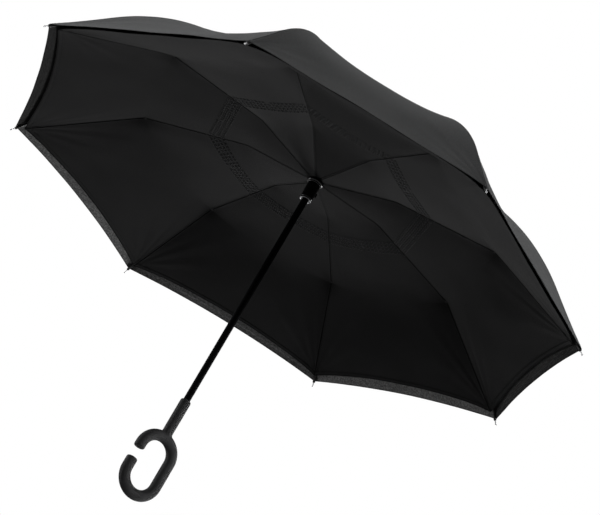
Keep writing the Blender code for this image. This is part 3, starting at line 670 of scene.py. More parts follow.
def prepare_finishes(scene):
    fabric, metals, handle = scene.umbrella_cloth, scene.umbrella_metal, scene.umbrella_handle
    for name, colour, speckle, mottle, sheen in (
        ("inner_cloth", fabric.inner, 0.10, 0.10, 0.02),
        ("outer_cloth", fabric.outer, 0.22, 0.08, 0.05),
        ("coated_lining", fabric.lining, 0.40, 0.10, 0.02),
    ):
        FINISHES[name] = cloth(name, colour, fabric, speckle, mottle, sheen, name == "coated_lining")
    for name, colour, roughness, grain, grain_size, specular in (
        ("black_thread", fabric.thread, 0.8, 0.00008, 0.0004, 0.2),
        ("soft_rubber", handle.rubber, 0.60, 0.000006, 0.00035, 0.012),
        ("gloss_plastic", metals.gloss, 0.18, 0.000004, 0.0012, 0.16),
        ("black_plastic", metals.plastic, 0.45, 0.00001, 0.0004, 0.12),
        ("coated_rod", metals.rod, 0.42, 0.00001, 0.0008, 0.12),
    ):
        FINISHES[name] = moulded(name, colour, roughness, grain, grain_size, specular)
    for name, colour, roughness, brushed, metallic, specular in (
        ("shaft_paint", metals.shaft, 0.5, 0.000004, 0.0, 0.004),
        ("drawn_steel", metals.steel, 0.34, 0.00001, 1.0, 0.5),
        ("bright_chrome", metals.chrome, 0.34, 0.000002, 1.0, 0.5),
        ("satin_nickel", metals.nickel, 0.30, 0.000002, 1.0, 0.5),
    ):
        FINISHES[name] = metal(name, colour, roughness, brushed, metallic, specular)


# Canopies

# A sheet's cells: how many lie across each half, and how they widen towards mid-gore
CELLS = 32
CELL_GROWTH = 1.5
# The narrow row beside each cut, and how near two radii are taken as one
EDGE_ROW = 0.0008
NEARLY = EDGE_ROW / 10
# Rows of the folded hem, as shares of its width from the edge, and where the even rows end before it
HEM_ROWS = (1.08, 1.0, 0.92, 0.6, 0.34, 0.26, 0.1, 0.0)
HEM_CLEAR = 1.25
# Near the hub the folded seam takes this share of the half-gore at most
SEAM_SHARE = 0.35
# The inner seams show faintly at the hub, and fully beyond the vents: where they deepen, and over how far
FAINT_SEAM = 0.25
SEAM_DEEPENS = (0.10, 0.09)

INNER_RINGS = (
    # name, start, end, row pitch, share of its width kept when closed
    ("inner_cuff", CLAMP, 0.030, 0.0035, None),
    ("inner_neck", 0.030, 0.055, 0.005, 0.80),
    ("inner_yoke", 0.055, 0.100, 0.006, 0.42),
    ("inner_panel", 0.100, JOINT[0], 0.0055, 0.23),
    ("inner_skirt", JOINT[0], INNER.end, 0.006, 0.16),
)
OUTER_RINGS = (
    ("outer_cuff", CLAMP, 0.030, 0.0035, None),
    ("outer_neck", 0.030, 0.055, 0.005, 0.70),
    ("outer_yoke", 0.055, 0.110, 0.006, 0.38),
    ("outer_panel", 0.110, KNEE[0], 0.007, 0.15),
    ("outer_skirt", KNEE[0], OUTER.end, 0.006, 0.12),
)

PULLS = (
    # angle from the seam, width, reach, size
    (0.10, 0.040, 0.040, 0.8),
    (0.22, 0.045, 0.070, -1.0),
    (0.36, 0.050, 0.075, 0.8),
    (0.52, 0.055, 0.060, -0.9),
    (0.74, 0.075, 0.060, 0.8),
    (0.98, 0.090, 0.045, -0.8),
)
# How much each corner's pulls differ in angle and in size
PULL_ANGLE_VARIES = 0.12
PULL_SIZE_VARIES = 0.9
# Where they die out: at the corner itself, beside the seam, beside mid-gore as a share, and inwards
PULL_START = 0.010
PULL_SEAM = 0.004
PULL_MIDDLE = 1 / 6
PULL_REACH = 0.26
# How much a full fold changes the cloth's shade, as painted shade in its valleys and painted light on
# its ridges, and how much of a ridge counts at most
PULL_SHADE = 0.18
PULL_LIGHTEST = 0.5

# Over the rib's joint the inner cloth stands up beside the seam, and is darker at the seam, painted shade
# where the cloth dimples round the joint: how far and how dark, and the length and width of each
JOINT_LIFT = 0.0016
JOINT_LENGTH = 0.038
JOINT_WIDTH = 0.014
JOINT_DARK = 0.45
JOINT_DARK_SIZE = 0.016
JOINT_DARK_SQUASH = 0.8
# The cut between panel and skirt bows outward at mid-gore, but the last share of each sheet stays
JOINT_BULGE = 0.024
JOINT_STILL = 0.1

# Half the width of the hem's row of stitches, as a share of the hem, and by the way that a canopy
# faces: the shade of the stitches, the painted shade at the folded edge, and that edge's share of the hem
HEM_STITCH = 0.05
HEM_SHADES = {-1: (0.8, 0.45, 0.3), 1: (0.9, 0.6, 0.12)}

# Soft waves: how many fit in a metre, where they come in from the hub, and from a seam
WAVES = 13.0
WAVES_COME = (0.04, 0.14)
WAVES_BESIDE = 0.02

# How each gore's cloth takes the light, from the one between ribs 1 and 2 onwards: painted light
# and shade, a factor on each gore's colour. On the lining it stands in for light through the cloth
INNER_PAINTED_LIGHT = (1.42, 0.54, 1.18, 0.51, 0.65, 0.80, 1.10, 0.84)
OUTER_PAINTED_LIGHT = (1.0, 0.95, 0.88, 1.0, 1.0, 1.0, 1.0, 1.0)
LINING_PAINTED_LIGHT = (1.0, 1.0, 1.0, 0.45, 1.85, 1.85, 1.7, 0.30)
# The share of a gore over which its painted light meets its neighbour's: near the hub, how much more
# of it outside, and where it widens
PAINTED_LIGHT_MEETS = 0.02
PAINTED_LIGHT_WIDENS_BY = 0.45
PAINTED_LIGHT_WIDENS = (0.24, 0.12)
# On the lining it meets at this distance from the seam
LINING_MEETS = 0.004
# How far each gore's inner hem draws up between its corners
HEM_RISE = (1.0, 1.0, 1.0, 1.0, 1.0, 1.0, 0.2, 0.7)

# The tuck behind each joint: its slope, its reach as a share of the fold's height and beyond it, and
# how narrow it starts beside the seam before it widens
TUCK_ROWS = (0.0, 0.5, 1.0)
TUCK_SLOPE = 0.33
TUCK_SHARE = 0.66
TUCK_MORE = 0.003
TUCK_LEAST_HEIGHT = 0.002
TUCK_NARROW = 0.04
TUCK_WIDENS = (0.0032, 0.004)
# The tuck is darkened by this share, painted shade behind the fold
TUCK_SHADE = 0.8

# The vents' eyelets, how near the seam they start, and how far they stand proud. The rings' brightness
# is a painted sheen on the thread, and the hole's near-black is painted shade
EYELET_RINGS = (
    # share of the radius, height, shade
    (1.0, -0.0004, 1.6),
    (0.94, 0.00015, 3.0),
    (0.76, 0.00015, 3.0),
    (0.68, 0.0, 0.03),
)
EYELET_SIDES = 8
EYELET_PROUD = 0.0010
VENT_CLEAR = 0.0045
# A place of the weave that has no stitches
PLAIN_WEAVE = (0.01, 0.01)

TIES = (
    # name, radius, size
    ("rib_tie", 0.216, 0.0013),
    ("joint_tie", JOINT[0] - 0.003, 0.0016),
)
TIE_PROUD = 0.0006


def rib_axes(rib):
    """The directions out along a rib and across it."""
    angle = rib * STEP
    return Vector((math.cos(angle), math.sin(angle), 0)), Vector((-math.sin(angle), math.cos(angle), 0))


def rib_frame(rib):
    """The matrix to the world from a rib's own frame, which runs out along X from the hub."""
    return Matrix.Translation((0, 0, HUB)) @ Matrix.Rotation(rib * STEP, 4, "Z")


def seam_columns(settings):
    """(distance, how proud, shade) across the folded seam, whose stitched middle lies deep. Its shades
    are the dark thread with painted shade in the deep middle, a painted highlight on the raised
    shoulder, and painted shade where it steps down to the cloth.
    """
    width, height = settings.seam_width / 2, settings.seam_height
    return (
        (0.0, -height, 0.22),
        (width * 0.16, -height * 0.6, 0.30),
        (width * 0.34, height * 0.6, 0.62),
        (width * 0.55, height, 1.0),
        (width * 0.82, height * 0.9, 1.06),
        (width * 0.94, height * 0.1, 0.80),
        (width, 0.0, 1.0),
    )


def row_places(canopy, half, depth):
    """(distance from the seam, how proud, shade) across one row, from mid-gore to mid-gore.

    half is the row's half-width, and depth is how strongly the seam shows.
    """
    columns = seam_columns(canopy)
    squeeze = min(1.0, SEAM_SHARE * half / columns[-1][0])
    line = [
        (distance * squeeze, proud * squeeze, 1 + (shade - 1) * depth) for distance, proud, shade in columns
    ]
    start = line[-1][0]
    line += [(start + (half - start) * (k / CELLS) ** CELL_GROWTH, 0.0, 1.0) for k in range(1, CELLS + 1)]
    return [(-distance, proud, shade) for distance, proud, shade in reversed(line[1:])] + line


def sheet_rows(start, end, pitch, hem=None):
    """Radii of the rows, close together at the hem's fold and where the next piece goes on."""
    last = end - hem * HEM_CLEAR if hem else end
    count = max(2, round((last - start) / pitch))
    radii = [start + (last - start) * k / count for k in range(count + 1)]
    radii.insert(1, start + EDGE_ROW)
    if hem:
        radii += [end - hem * part for part in HEM_ROWS]
    else:
        radii.insert(-1, last - EDGE_ROW)
    return radii


def gore_painted_light(table, rib, part, soft):
    """A gore's painted light and shade, which meets its neighbour's at the seam over a soft part of its
    width.
    """
    before, after = table[rib - 1], table[rib]
    mean = (before + after) / 2
    own = after if part > 0 else before
    return mean + (own - mean) * min(1.0, abs(part) / soft)


def pulls(rib, side, away, beside):
    """The folds that run from a corner into the cloth: a ridge over 0, a valley under it."""
    distance = math.hypot(away, beside)
    angle = math.atan2(beside, away)
    total = 0.0
    for k, (centre, width, reach, size) in enumerate(PULLS):
        # Each rib, side and fold reads the noise at a place of its own
        vary = noise.noise(Vector((rib * 3.7 + k, side * 5.3, 0.5)))
        centre += PULL_ANGLE_VARIES * vary
        size *= 1 + PULL_SIZE_VARIES * vary
        total += size * math.exp(-(((angle - centre) / width) ** 2)) * math.exp(-distance / reach)
    return total * distance / (distance + PULL_START)


def corner_pulls(profile, canopy, rib, station, share, beside):
    """How far the corner's pulls lift the cloth, and the painted light and shade that they give it."""
    radius, turn = station[:2]
    if profile.end - radius >= PULL_REACH:
        return 0.0, 1.0
    fold = pulls(rib, -1 if share < 0 else 1, (profile.end - radius) / math.cos(turn), beside)
    fold *= min(1.0, (1 - abs(share)) / PULL_MIDDLE) * min(1.0, beside / PULL_SEAM)
    return canopy.fold_depth * fold, 1 + PULL_SHADE * max(-1.0, min(fold, PULL_LIGHTEST))


def joint_patch(from_joint, share, beside):
    """How far the inner cloth stands up over the rib's joint, and the painted shade of the seam there."""
    near = math.exp(-((from_joint / JOINT_LENGTH) ** 2))
    lift = JOINT_LIFT * near * (1 - math.exp(-((beside / JOINT_WIDTH) ** 2))) * (1 - abs(share))
    away = math.hypot(from_joint * JOINT_DARK_SQUASH, beside)
    return lift, 1 - JOINT_DARK * math.exp(-((away / JOINT_DARK_SIZE) ** 2))


def hem_fold(profile, canopy, from_hem):
    """How far the folded hem stands proud, and its shade, with painted shade at the folded edge, from its
    share of the hem's width.
    """
    stitches, dark, edge = HEM_SHADES[profile.facing]
    shade = stitches if abs(from_hem - 1.0) < HEM_STITCH else 1.0
    shade *= dark if from_hem < edge else 1.0
    return canopy.hem_height if from_hem < 1.0 else 0.0, shade


def slack_waves(profile, canopy, rib, radius, share, beside):
    """How far the soft waves lift the cloth. They run on from sheet to sheet."""
    bearing = rib * STEP + share * HALF
    place = Vector((radius * math.cos(bearing), radius * math.sin(bearing), 0)) * WAVES
    waves = noise.noise(place + Vector((0, 0, profile.facing)))
    return canopy.slack * waves * risen(radius, *WAVES_COME) * min(1.0, beside / WAVES_BESIDE)


def sheet_point(profile, canopy, rib, station, share, beside, proud, hem):
    """A point of the cloth in the rib's frame, with the painted light and shade that its folds and seams
    give it.
    """
    radius, turn, sag, scallop = station
    effects = [corner_pulls(profile, canopy, rib, station, share, beside)]
    if profile.facing < 0:
        gore = rib if share > 0 else rib - 1
        sag = min(sag, 0.0) * HEM_RISE[gore] + max(sag, 0.0)
        effects.append(joint_patch(radius - JOINT[0], share, beside))
    if hem:
        effects.append(hem_fold(profile, canopy, (profile.end - radius) / hem))
    lift = sum(lift for lift, _ in effects) + slack_waves(profile, canopy, rib, radius, share, beside)
    point = profile.point((radius, turn, sag, scallop), share, proud + lift)
    return point, math.prod(shade for _, shade in effects)


def cut_shift(radii, radius, part):
    """How much further out a row of the inner canopy runs beside its rib.

    The cut between panel and skirt bows outward, so that its edges stay near the joint's axis when
    the umbrella closes.
    """
    if min(abs(radii[0] - JOINT[0]), abs(radii[-1] - JOINT[0])) > NEARLY:
        return 0.0
    near = 1 - abs(radius - JOINT[0]) / (radii[-1] - radii[0])
    return JOINT_BULGE * max(0.0, (1 + JOINT_STILL) * near - JOINT_STILL) ** 2 * part**2


def cloth_sheet(name, profile, canopy, rib, radii, finish, lining=None, hem=None, tuck=False):
    """One rib's share of a canopy between two radii, with the folded seam down its middle."""
    inner = profile.facing < 0
    gore_light = INNER_PAINTED_LIGHT if inner else OUTER_PAINTED_LIGHT
    points, uvs, shades = [], [], []
    turn = rib_frame(rib)
    for radius in radii:
        station = profile.station(radius)
        half = radius * CHORD
        soft = PAINTED_LIGHT_MEETS + PAINTED_LIGHT_WIDENS_BY * risen(radius, *PAINTED_LIGHT_WIDENS)
        depth = max(FAINT_SEAM, risen(radius, *SEAM_DEEPENS)) if inner else 1.0
        row = row_places(canopy, half, depth)
        for distance, proud, shade in row:
            share = distance / half
            shift = cut_shift(radii, radius, share)
            here = profile.station(radius + shift) if shift > NEARLY else station
            point, fold_shade = sheet_point(profile, canopy, rib, here, share, abs(distance), proud, hem)
            points.append(turn @ point)
            uvs.append((distance, radius + shift))
            shades.append(shade * fold_shade * gore_painted_light(gore_light, rib, share, soft))
    width = len(row)
    faces = grid_faces(len(radii), width, inner)
    if tuck:
        add_tuck(points, uvs, shades, faces, width, rib)
    obj = built(name, points, faces, finish, uvs, shades)
    crisp_rim(obj.data)
    solid = obj.modifiers.new("Thickness", "SOLIDIFY")
    solid.thickness = bpy.context.scene.umbrella_cloth.thickness
    solid.offset = 0.0
    if lining:
        obj.data.materials.append(lining)
        solid.material_offset = 1
        # The lining's painted light and shade for each gore
        inside = [gore_painted_light(LINING_PAINTED_LIGHT, rib, uv[0], LINING_MEETS) for uv in uvs]
        obj.data.attributes.new("inside", "FLOAT", "POINT").data.foreach_set("value", inside)
    return obj


def add_tuck(points, uvs, shades, faces, width, rib):
    """Adds a tuck behind the last row, which hides the slit that opens there as the umbrella closes."""
    start = len(points)
    out, _ = rib_axes(rib)
    ahead = out * math.cos(TUCK_SLOPE) + Vector((0, 0, math.sin(TUCK_SLOPE)))
    pivot = HUB + JOINT_PIVOT[1]
    for part in TUCK_ROWS:
        for k in range(start - width, start):
            across = uvs[k][0]
            height = max(pivot - points[k].z, TUCK_LEAST_HEIGHT)
            widening = max(TUCK_NARROW, risen(abs(across), *TUCK_WIDENS))
            reach = part * (height * TUCK_SHARE + TUCK_MORE) * widening
            points.append(points[k] + ahead * reach)
            uvs.append((across, JOINT[0] + reach))
            shades.append(TUCK_SHADE)
    faces += grid_faces(len(TUCK_ROWS), width, True, start)


def fold_up(obj):
    """Gives the sheet a mesh of its own."""
    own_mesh(obj)


def follow(obj, link, keep):
    """A cuff stays at its fixed clamp, with its place worked into its mesh. The other sheets ride on the
    link, each with a mesh of its own.
    """
    if keep is None:
        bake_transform(obj)
    else:
        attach(obj, link)
        fold_up(obj)


def eyelet(points, faces, shades, uvs, centre, across, along, radius):
    """A worked eyelet: a low ring of thread round a dark hole, with a painted sheen on the ring and painted
    shade in the hole.
    """
    normal = across.cross(along).normalized()
    if normal.z > 0:
        normal = -normal
    start = len(points)
    for share, height, shade in EYELET_RINGS:
        for k in range(EYELET_SIDES):
            angle = math.tau * k / EYELET_SIDES
            spoke = across * math.cos(angle) + along * math.sin(angle)
            points.append(centre + spoke * radius * share + normal * height)
            shades.append(shade)
            uvs.append(PLAIN_WEAVE)
    faces += ring_faces(len(EYELET_RINGS), EYELET_SIDES, start)
    faces.append(tuple(range(len(points) - EYELET_SIDES, len(points))))
    faces.append(tuple(reversed(range(start, start + EYELET_SIDES))))


def vent_places(canopy):
    """(radius, distance from the seam) of each eyelet on one side of a rib, in staggered rows."""
    pitch = canopy.vent_pitch
    for row in range(canopy.vent_rows):
        radius = canopy.vent_radius + row * pitch / math.cos(HALF)
        stagger = 0.5 * (row % 2)
        for k in range(math.ceil((radius * CHORD - VENT_CLEAR) / pitch - stagger)):
            yield radius, VENT_CLEAR + (k + stagger) * pitch


def vent(rib, canopy, finish):
    """Rows of eyelets across half of each neighbouring gore, in a straight band between the seams."""
    points, faces, shades, uvs = [], [], [], []
    turn = rib_frame(rib)
    step_out, step_across = 0.001, 0.01

    def place(radius, share, beside):
        station = INNER.station(radius)
        return turn @ sheet_point(INNER, canopy, rib, station, share, beside, EYELET_PROUD, None)[0]

    for radius, beside in vent_places(canopy):
        for side in (-1, 1):
            share = side * beside / (radius * CHORD)
            centre = place(radius, share, beside)
            along = (place(radius + step_out, share, beside) - centre).normalized()
            across = (place(radius, share + step_across, beside) - centre).normalized()
            eyelet(points, faces, shades, uvs, centre, across, along, canopy.eyelet_radius)
    return built(f"inner_vent_{rib + 1}", points, faces, finish, uvs, shades)


def knot(name, finish, place, size):
    """A small thread tie, wound round the seam: a squat beaded knot."""
    beads, depth, twist, flatness = 9, 0.16, 700, 0.55
    shape = bmesh.new()
    bmesh.ops.create_icosphere(shape, subdivisions=3, radius=size)
    for vert in shape.verts:
        swirl = 1 + depth * math.sin(beads * math.atan2(vert.co.y, vert.co.x) + twist * vert.co.z)
        vert.co = Vector((vert.co.x * swirl, vert.co.y * swirl, vert.co.z * flatness)) + place
    mesh = bpy.data.meshes.new(name)
    shape.to_mesh(mesh)
    shape.free()
    mesh.shade_smooth()
    mesh.materials.append(finish)
    return new_object(name, mesh)


def vent_and_ties(rib, canopy, finish, body):
    """What a panel carries: its vent, and the thread ties that hold it to the rib."""
    number = rib + 1
    holes = vent(rib, canopy, finish)
    ties = []
    for name, radius, size in TIES:
        place = rib_frame(rib) @ INNER.point(INNER.station(radius), 0.0, TIE_PROUD)
        ties.append(knot(f"{name}_{number}", FINISHES["black_thread"], place, size))
    for piece in (holes, *ties):
        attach(piece, body)
    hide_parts(f"inner_canopy_{number}")
    fold_up(holes)
    return [holes, *ties]


def inner_canopy(scene):
    """Cuffs, necks, yokes, panels and skirts of the inner canopy, with vents and ties."""
    canopy, finish = scene.umbrella_canopy, FINISHES["inner_cloth"]
    for rib in range(RIBS):
        number = rib + 1
        for kind, start, end, pitch, keep in INNER_RINGS:
            hem = canopy.hem_width if end == INNER.end else None
            radii = sheet_rows(start, end, pitch, hem)
            panel = kind == "inner_panel"
            obj = cloth_sheet(f"{kind}_{number}", INNER, canopy, rib, radii, finish, None, hem, panel)
            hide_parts(f"inner_canopy_{number}")
            link = f"outer_rib_{number}" if hem else f"lower_rib_{number}"
            extras = vent_and_ties(rib, canopy, finish, link) if panel else []
            follow(obj, link, keep)


def outer_canopy(scene):
    """Cuffs, necks, yokes, panels and skirts of the outer canopy."""
    canopy, finish, lining = scene.umbrella_canopy, FINISHES["outer_cloth"], FINISHES["coated_lining"]
    for rib in range(RIBS):
        number = rib + 1
        for kind, start, end, pitch, keep in OUTER_RINGS:
            hem = canopy.hem_width if end == OUTER.end else None
            radii = sheet_rows(start, end, pitch, hem)
            obj = cloth_sheet(f"{kind}_{number}", OUTER, canopy, rib, radii, finish, lining, hem)
            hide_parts(f"outer_canopy_{number}" if hem else "outer_canopy_crown")
            link = f"outer_rib_{number}" if hem else f"strut_{number}"
            follow(obj, link, keep)


# Handle

# The loop's bends and straight back, the short arm beside its mouth, and the stem with its socket
LOOP_RADIUS = 0.030
LOOP_STRAIGHT = 0.044
ARM_DROP = 0.0082
MOUTH = 0.0194
STEM_LENGTH = 0.063
SOCKET_DEPTH = 0.050
# The recess in the loop's end over the mouth: its length, width and depth, the share that its floor
# takes, and the depth of its chamfer
RECESS = (0.0088, 0.0046, 0.0015)
RECESS_FLOOR = 0.9
RECESS_EDGE = 0.0004
# How far the fillet between stem and loop reaches up and sideways
FILLET = (0.012, 0.020)
EVENING_PASSES = 8
# Room between the shaft and what sits on it, and how far a cutter stands out of what it cuts
FIT = 0.0003
CUT_PAST = 0.01


def rounded_end(place, ahead, radius, edge, steps=5):
    """(place, radius) of the rings of a tube's rounded end, from its tip at place inwards."""
    rings = []
    for k in range(steps + 1):
        angle = math.pi / 2 * k / steps
        rings.append((place - ahead * edge * (1 - math.cos(angle)), radius - edge * (1 - math.sin(angle))))
    return rings


def tube_along(name, path, radius, edge, finish, sides=40):
    """A round tube along a path in the XZ plane, with rounded ends."""
    path = [Vector(place) for place in path]
    start, end = path[0], path[-1]
    clear = edge * 1.2
    middle = [here for here in path[1:-1] if (here - start).length > clear and (here - end).length > clear]
    rings = [
        *rounded_end(start, (start - path[1]).normalized(), radius, edge),
        *((here, radius) for here in middle),
        *reversed(rounded_end(end, (end - path[-2]).normalized(), radius, edge)),
    ]
    points = []
    count = len(rings)
    for k, (place, reach) in enumerate(rings):
        before, after = rings[max(k - 1, 0)][0], rings[min(k + 1, count - 1)][0]
        ahead = (after - before).normalized()
        for j in range(sides):
            angle = math.tau * j / sides
            beside = reach * math.cos(angle)
            points.append((place.x - ahead.y * beside, reach * math.sin(angle), place.y + ahead.x * beside))
    ends = [tuple(reversed(range(sides))), tuple(range(len(points) - sides, len(points)))]
    obj = built(name, points, [*ring_faces(count, sides), *ends], finish)
    turned_outward(obj.data)
    return obj


def hand_loop_path(tube):
    """The loop's middle line in the XZ plane, from its end over the mouth round to the one under it."""
    upper = -tube / 2 - LOOP_RADIUS
    lower = upper - LOOP_STRAIGHT
    arm = upper - ARM_DROP
    drop = [(LOOP_RADIUS, arm + ARM_DROP * k / 3) for k in range(3)]
    top = arc((0, upper), LOOP_RADIUS, 0, math.pi, 48)
    back = [(-LOOP_RADIUS, upper - LOOP_STRAIGHT * k / 10) for k in range(1, 10)]
    foot = arc((0, lower), LOOP_RADIUS, math.pi, math.tau, 48)
    end = arm - MOUTH
    rise = [(LOOP_RADIUS, lower + (end - lower) * k / 4) for k in range(1, 5)]
    return [*drop, *top, *back, *foot, *rise]


def stem_outline(settings):
    radius, shoulder = settings.stem / 2, settings.shoulder
    foot = -settings.tube / 2
    top = arc((radius - shoulder, STEM_LENGTH - shoulder), shoulder, 0, math.pi / 2)
    return [(0, foot), (radius, foot), *top, (0, STEM_LENGTH)]


def soften(obj, settings):
    """Evens the moulding's surface, and melts the corner between stem and loop into a fillet."""
    height, reach = FILLET
    fillet = obj.vertex_groups.new(name="fillet")
    everywhere = obj.vertex_groups.new(name="all")
    for vert in obj.data.vertices:
        near = math.exp(-((vert.co.z / height) ** 2)) * math.exp(-((abs(vert.co.x) / reach) ** 4))
        fillet.add([vert.index], near, "REPLACE")
        everywhere.add([vert.index], 1.0, "REPLACE")
    for group, factor, passes in (("all", 0.5, EVENING_PASSES), ("fillet", 0.9, settings.fillet_passes)):
        smooth = obj.modifiers.new(group, "SMOOTH")
        smooth.vertex_group = group
        smooth.factor = factor
        smooth.iterations = passes
    applied(obj)


def handle(scene):
    """The moulded handle: stem and hand loop in one, with a soft fillet between them."""
    settings, finish = scene.umbrella_handle, FINISHES["soft_rubber"]
    path = hand_loop_path(settings.tube)
    obj = tube_along("grip_handle", path, settings.tube / 2, settings.end_edge, finish)
    combined(obj, [lathe("stem", stem_outline(settings), finish)], "UNION")
    remesh = obj.modifiers.new("Moulding", "REMESH")
    remesh.mode = "VOXEL"
    remesh.voxel_size = settings.voxel
    applied(obj)
    soften(obj, settings)
    bore, floor, top = SHAFT_RADIUS + FIT, STEM_LENGTH - SOCKET_DEPTH, STEM_LENGTH + CUT_PAST
    socket = lathe("socket", [(0, floor), (bore, floor), (bore, top), (0, top)], finish)
    long, wide, deep = RECESS
    half, brim, dish_floor = long / 2, deep - RECESS_EDGE, long / 2 * RECESS_FLOOR
    outline = [(0, -CUT_PAST), (half, -CUT_PAST), (half, brim), (dish_floor, deep), (0, deep)]
    dish = lathe("dish", outline, finish, steps=32)
    end = -settings.tube / 2 - LOOP_RADIUS - ARM_DROP
    dish.data.transform(Matrix.Translation((LOOP_RADIUS, 0, end)) @ Matrix.Diagonal((1, wide / long, 1, 1)))
    combined(obj, [socket, dish], "DIFFERENCE")
    smoothed(obj.data, 0.7)
    obj.data.materials.clear()
    obj.data.materials.append(finish)
    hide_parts("c_handle")
    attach(obj, "frame")


# Shaft and runner


def tube_profile(bore, radius, foot, top, edge):
    """The outline of a tube whose four rims are chamfered."""
    return [
        (bore, foot + edge),
        (bore + edge, foot),
        (radius - edge, foot),
        (radius, foot + edge),
        (radius, top - edge),
        (radius - edge, top),
        (bore + edge, top),
        (bore, top - edge),
    ]


def shaft(scene):
    """The painted tube, and the cap on its top."""
    wall, edge = 0.0009, 0.0002
    profile = tube_profile(SHAFT_RADIUS - wall, SHAFT_RADIUS, SHAFT_LOW.z, SHAFT_HIGH.z, edge)
    obj = lathe("painted_shaft", profile, FINISHES["shaft_paint"])
    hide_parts("shaft")
    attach(obj, "frame")
    foot, top = CAP_LOW.z, CAP_HIGH.z
    bore, floor = SHAFT_RADIUS + FIT, SHAFT_HIGH.z + FIT
    brim, chamfer, brim_height, lip = 0.0190, 0.0004, 0.0011, 0.0014
    neck, hollow, head, dome = 0.0096, 0.0040, 0.0078, 0.0018
    cap = lathe(
        "ferrule_button",
        [
            (0, floor),
            (bore, floor),
            (bore, foot),
            (brim - chamfer, foot),
            (brim, foot + chamfer),
            *arc((brim - lip, foot + brim_height), lip, 0, math.pi / 2, 5),
            *arc((neck + hollow, foot + brim_height + lip + hollow), hollow, -math.pi / 2, -math.pi, 6),
            *arc((head - dome, top - dome), dome, 0, math.pi / 2, 6),
            (0, top),
        ],
        FINISHES["black_plastic"],
    )
    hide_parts("ferrule_cap")
    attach(cap, "frame")


# The runner's cover: radii, heights and edges
FLANGE = 0.0150
FLANGE_HEIGHT = 0.0068
FLANGE_EDGE = 0.0026
SLEEVE_TOP = 0.0114
SLEEVE_FOOT = 0.0104
SLEEVE_CHAMFER = 0.0005
COVER_BORE = SHAFT_RADIUS + 0.0016
# The groove under the flange, in which the bright rim sits
GROOVE = 0.0098
GROOVE_HEIGHT = 0.0012
RIM_WIRE = 0.0002
RIM_ROOM = 0.0001
# The bright ring under the cover: its wall and outer edges, and the steps of its dished foot
RING_WALL = 0.0018
RING_EDGE = 0.0010
RING_DISH = (0.0016, 0.0012, 0.0002)
RING_DISH_EDGE = 0.0005
# Points round the runner's turned pieces
RUNNER_STEPS = 96
# The button's window is so much wider than the button with its hidden flange, and so much lower
WINDOW_WIDER = 0.0001
WINDOW_LOWER = 0.0011


def button_window():
    """A cutter for the button's window: a slot with round ends, through the cover's side."""
    low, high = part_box("runner_button")
    middle = (low.z + high.z) / 2
    half_width = (high.y - low.y) / 2 + WINDOW_WIDER
    half_height = (high.z - low.z) / 2 - WINDOW_LOWER
    corners = 32
    outline = []
    for k in range(corners):
        angle = math.tau * (k + 0.5) / corners
        straight = math.copysign(half_height - half_width, math.sin(angle))
        outline.append((half_width * math.cos(angle), middle + straight + half_width * math.sin(angle)))
    points = [(x, y, z) for x in (-2 * FLANGE, -COVER_BORE) for y, z in outline]
    ends = [tuple(reversed(range(corners))), tuple(range(corners, 2 * corners))]
    mesh = bpy.data.meshes.new("window")
    mesh.from_pydata(points, [], [*ring_faces(2, corners), *ends])
    turned_outward(mesh)
    return new_object("window", mesh)


def runner_cover(top, foot, rim):
    """The glossy sleeve and flange in one, with a groove between them and the button's window."""
    flange_foot = top - FLANGE_HEIGHT
    corner = FLANGE - FLANGE_EDGE
    body = lathe(
        "runner_cover",
        [
            (COVER_BORE, foot),
            (SLEEVE_FOOT - SLEEVE_CHAMFER, foot),
            (SLEEVE_FOOT, foot + SLEEVE_CHAMFER),
            (SLEEVE_TOP, rim - SLEEVE_CHAMFER),
            (SLEEVE_TOP - SLEEVE_CHAMFER, rim),
            (GROOVE, rim),
            (GROOVE, flange_foot),
            *arc((corner, flange_foot + FLANGE_EDGE), FLANGE_EDGE, -math.pi / 2, 0),
            *arc((corner, top - FLANGE_EDGE), FLANGE_EDGE, 0, math.pi / 2),
            (COVER_BORE, top),
        ],
        FINISHES["gloss_plastic"],
        RUNNER_STEPS,
    )
    combined(body, [button_window()], "DIFFERENCE")
    smoothed(body.data)
    return body


def cover_rim(rim):
    """The thin bright wire round the groove's foot."""
    bore = GROOVE + RIM_ROOM
    wire = arc((SLEEVE_TOP - RIM_ROOM, rim + 2 * RIM_WIRE), RIM_WIRE, -math.pi / 2, math.pi / 2, 6)
    outline = [(bore, rim + RIM_WIRE), *wire, (bore, rim + 3 * RIM_WIRE)]
    return lathe("cover_rim", outline, FINISHES["bright_chrome"], RUNNER_STEPS)


def chrome_ring():
    """The bright ring under the sleeve: dished on its foot, with rounded edges."""
    low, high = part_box("runner_ring")
    bore, radius, edge = SHAFT_RADIUS + FIT, high.x, RING_EDGE
    middle, side, step = RING_DISH
    outline = [
        (bore, low.z + middle),
        (radius - RING_WALL, low.z + side),
        (radius - RING_WALL + RING_DISH_EDGE, low.z + step),
        *arc((radius - edge, low.z + edge), edge, -math.pi / 2, 0, 6),
        *arc((radius - edge, high.z - edge), edge, 0, math.pi / 2, 6),
        (bore, high.z),
    ]
    return lathe("chrome_ring", outline, FINISHES["bright_chrome"], RUNNER_STEPS)


def runner(scene):
    """The runner's glossy cover, its thin bright rim and the chrome ring under it."""
    top, foot = SLEEVE_HIGH.z, SLEEVE_LOW.z
    rim = top - FLANGE_HEIGHT - GROOVE_HEIGHT
    for obj, slot, node in (
        (runner_cover(top, foot, rim), "gloss_black", "runner_sleeve"),
        (cover_rim(rim), "chrome", "runner_sleeve"),
        (chrome_ring(), "chrome", "runner_ring"),
    ):
        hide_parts(node)
        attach(obj, "runner")


# Tips


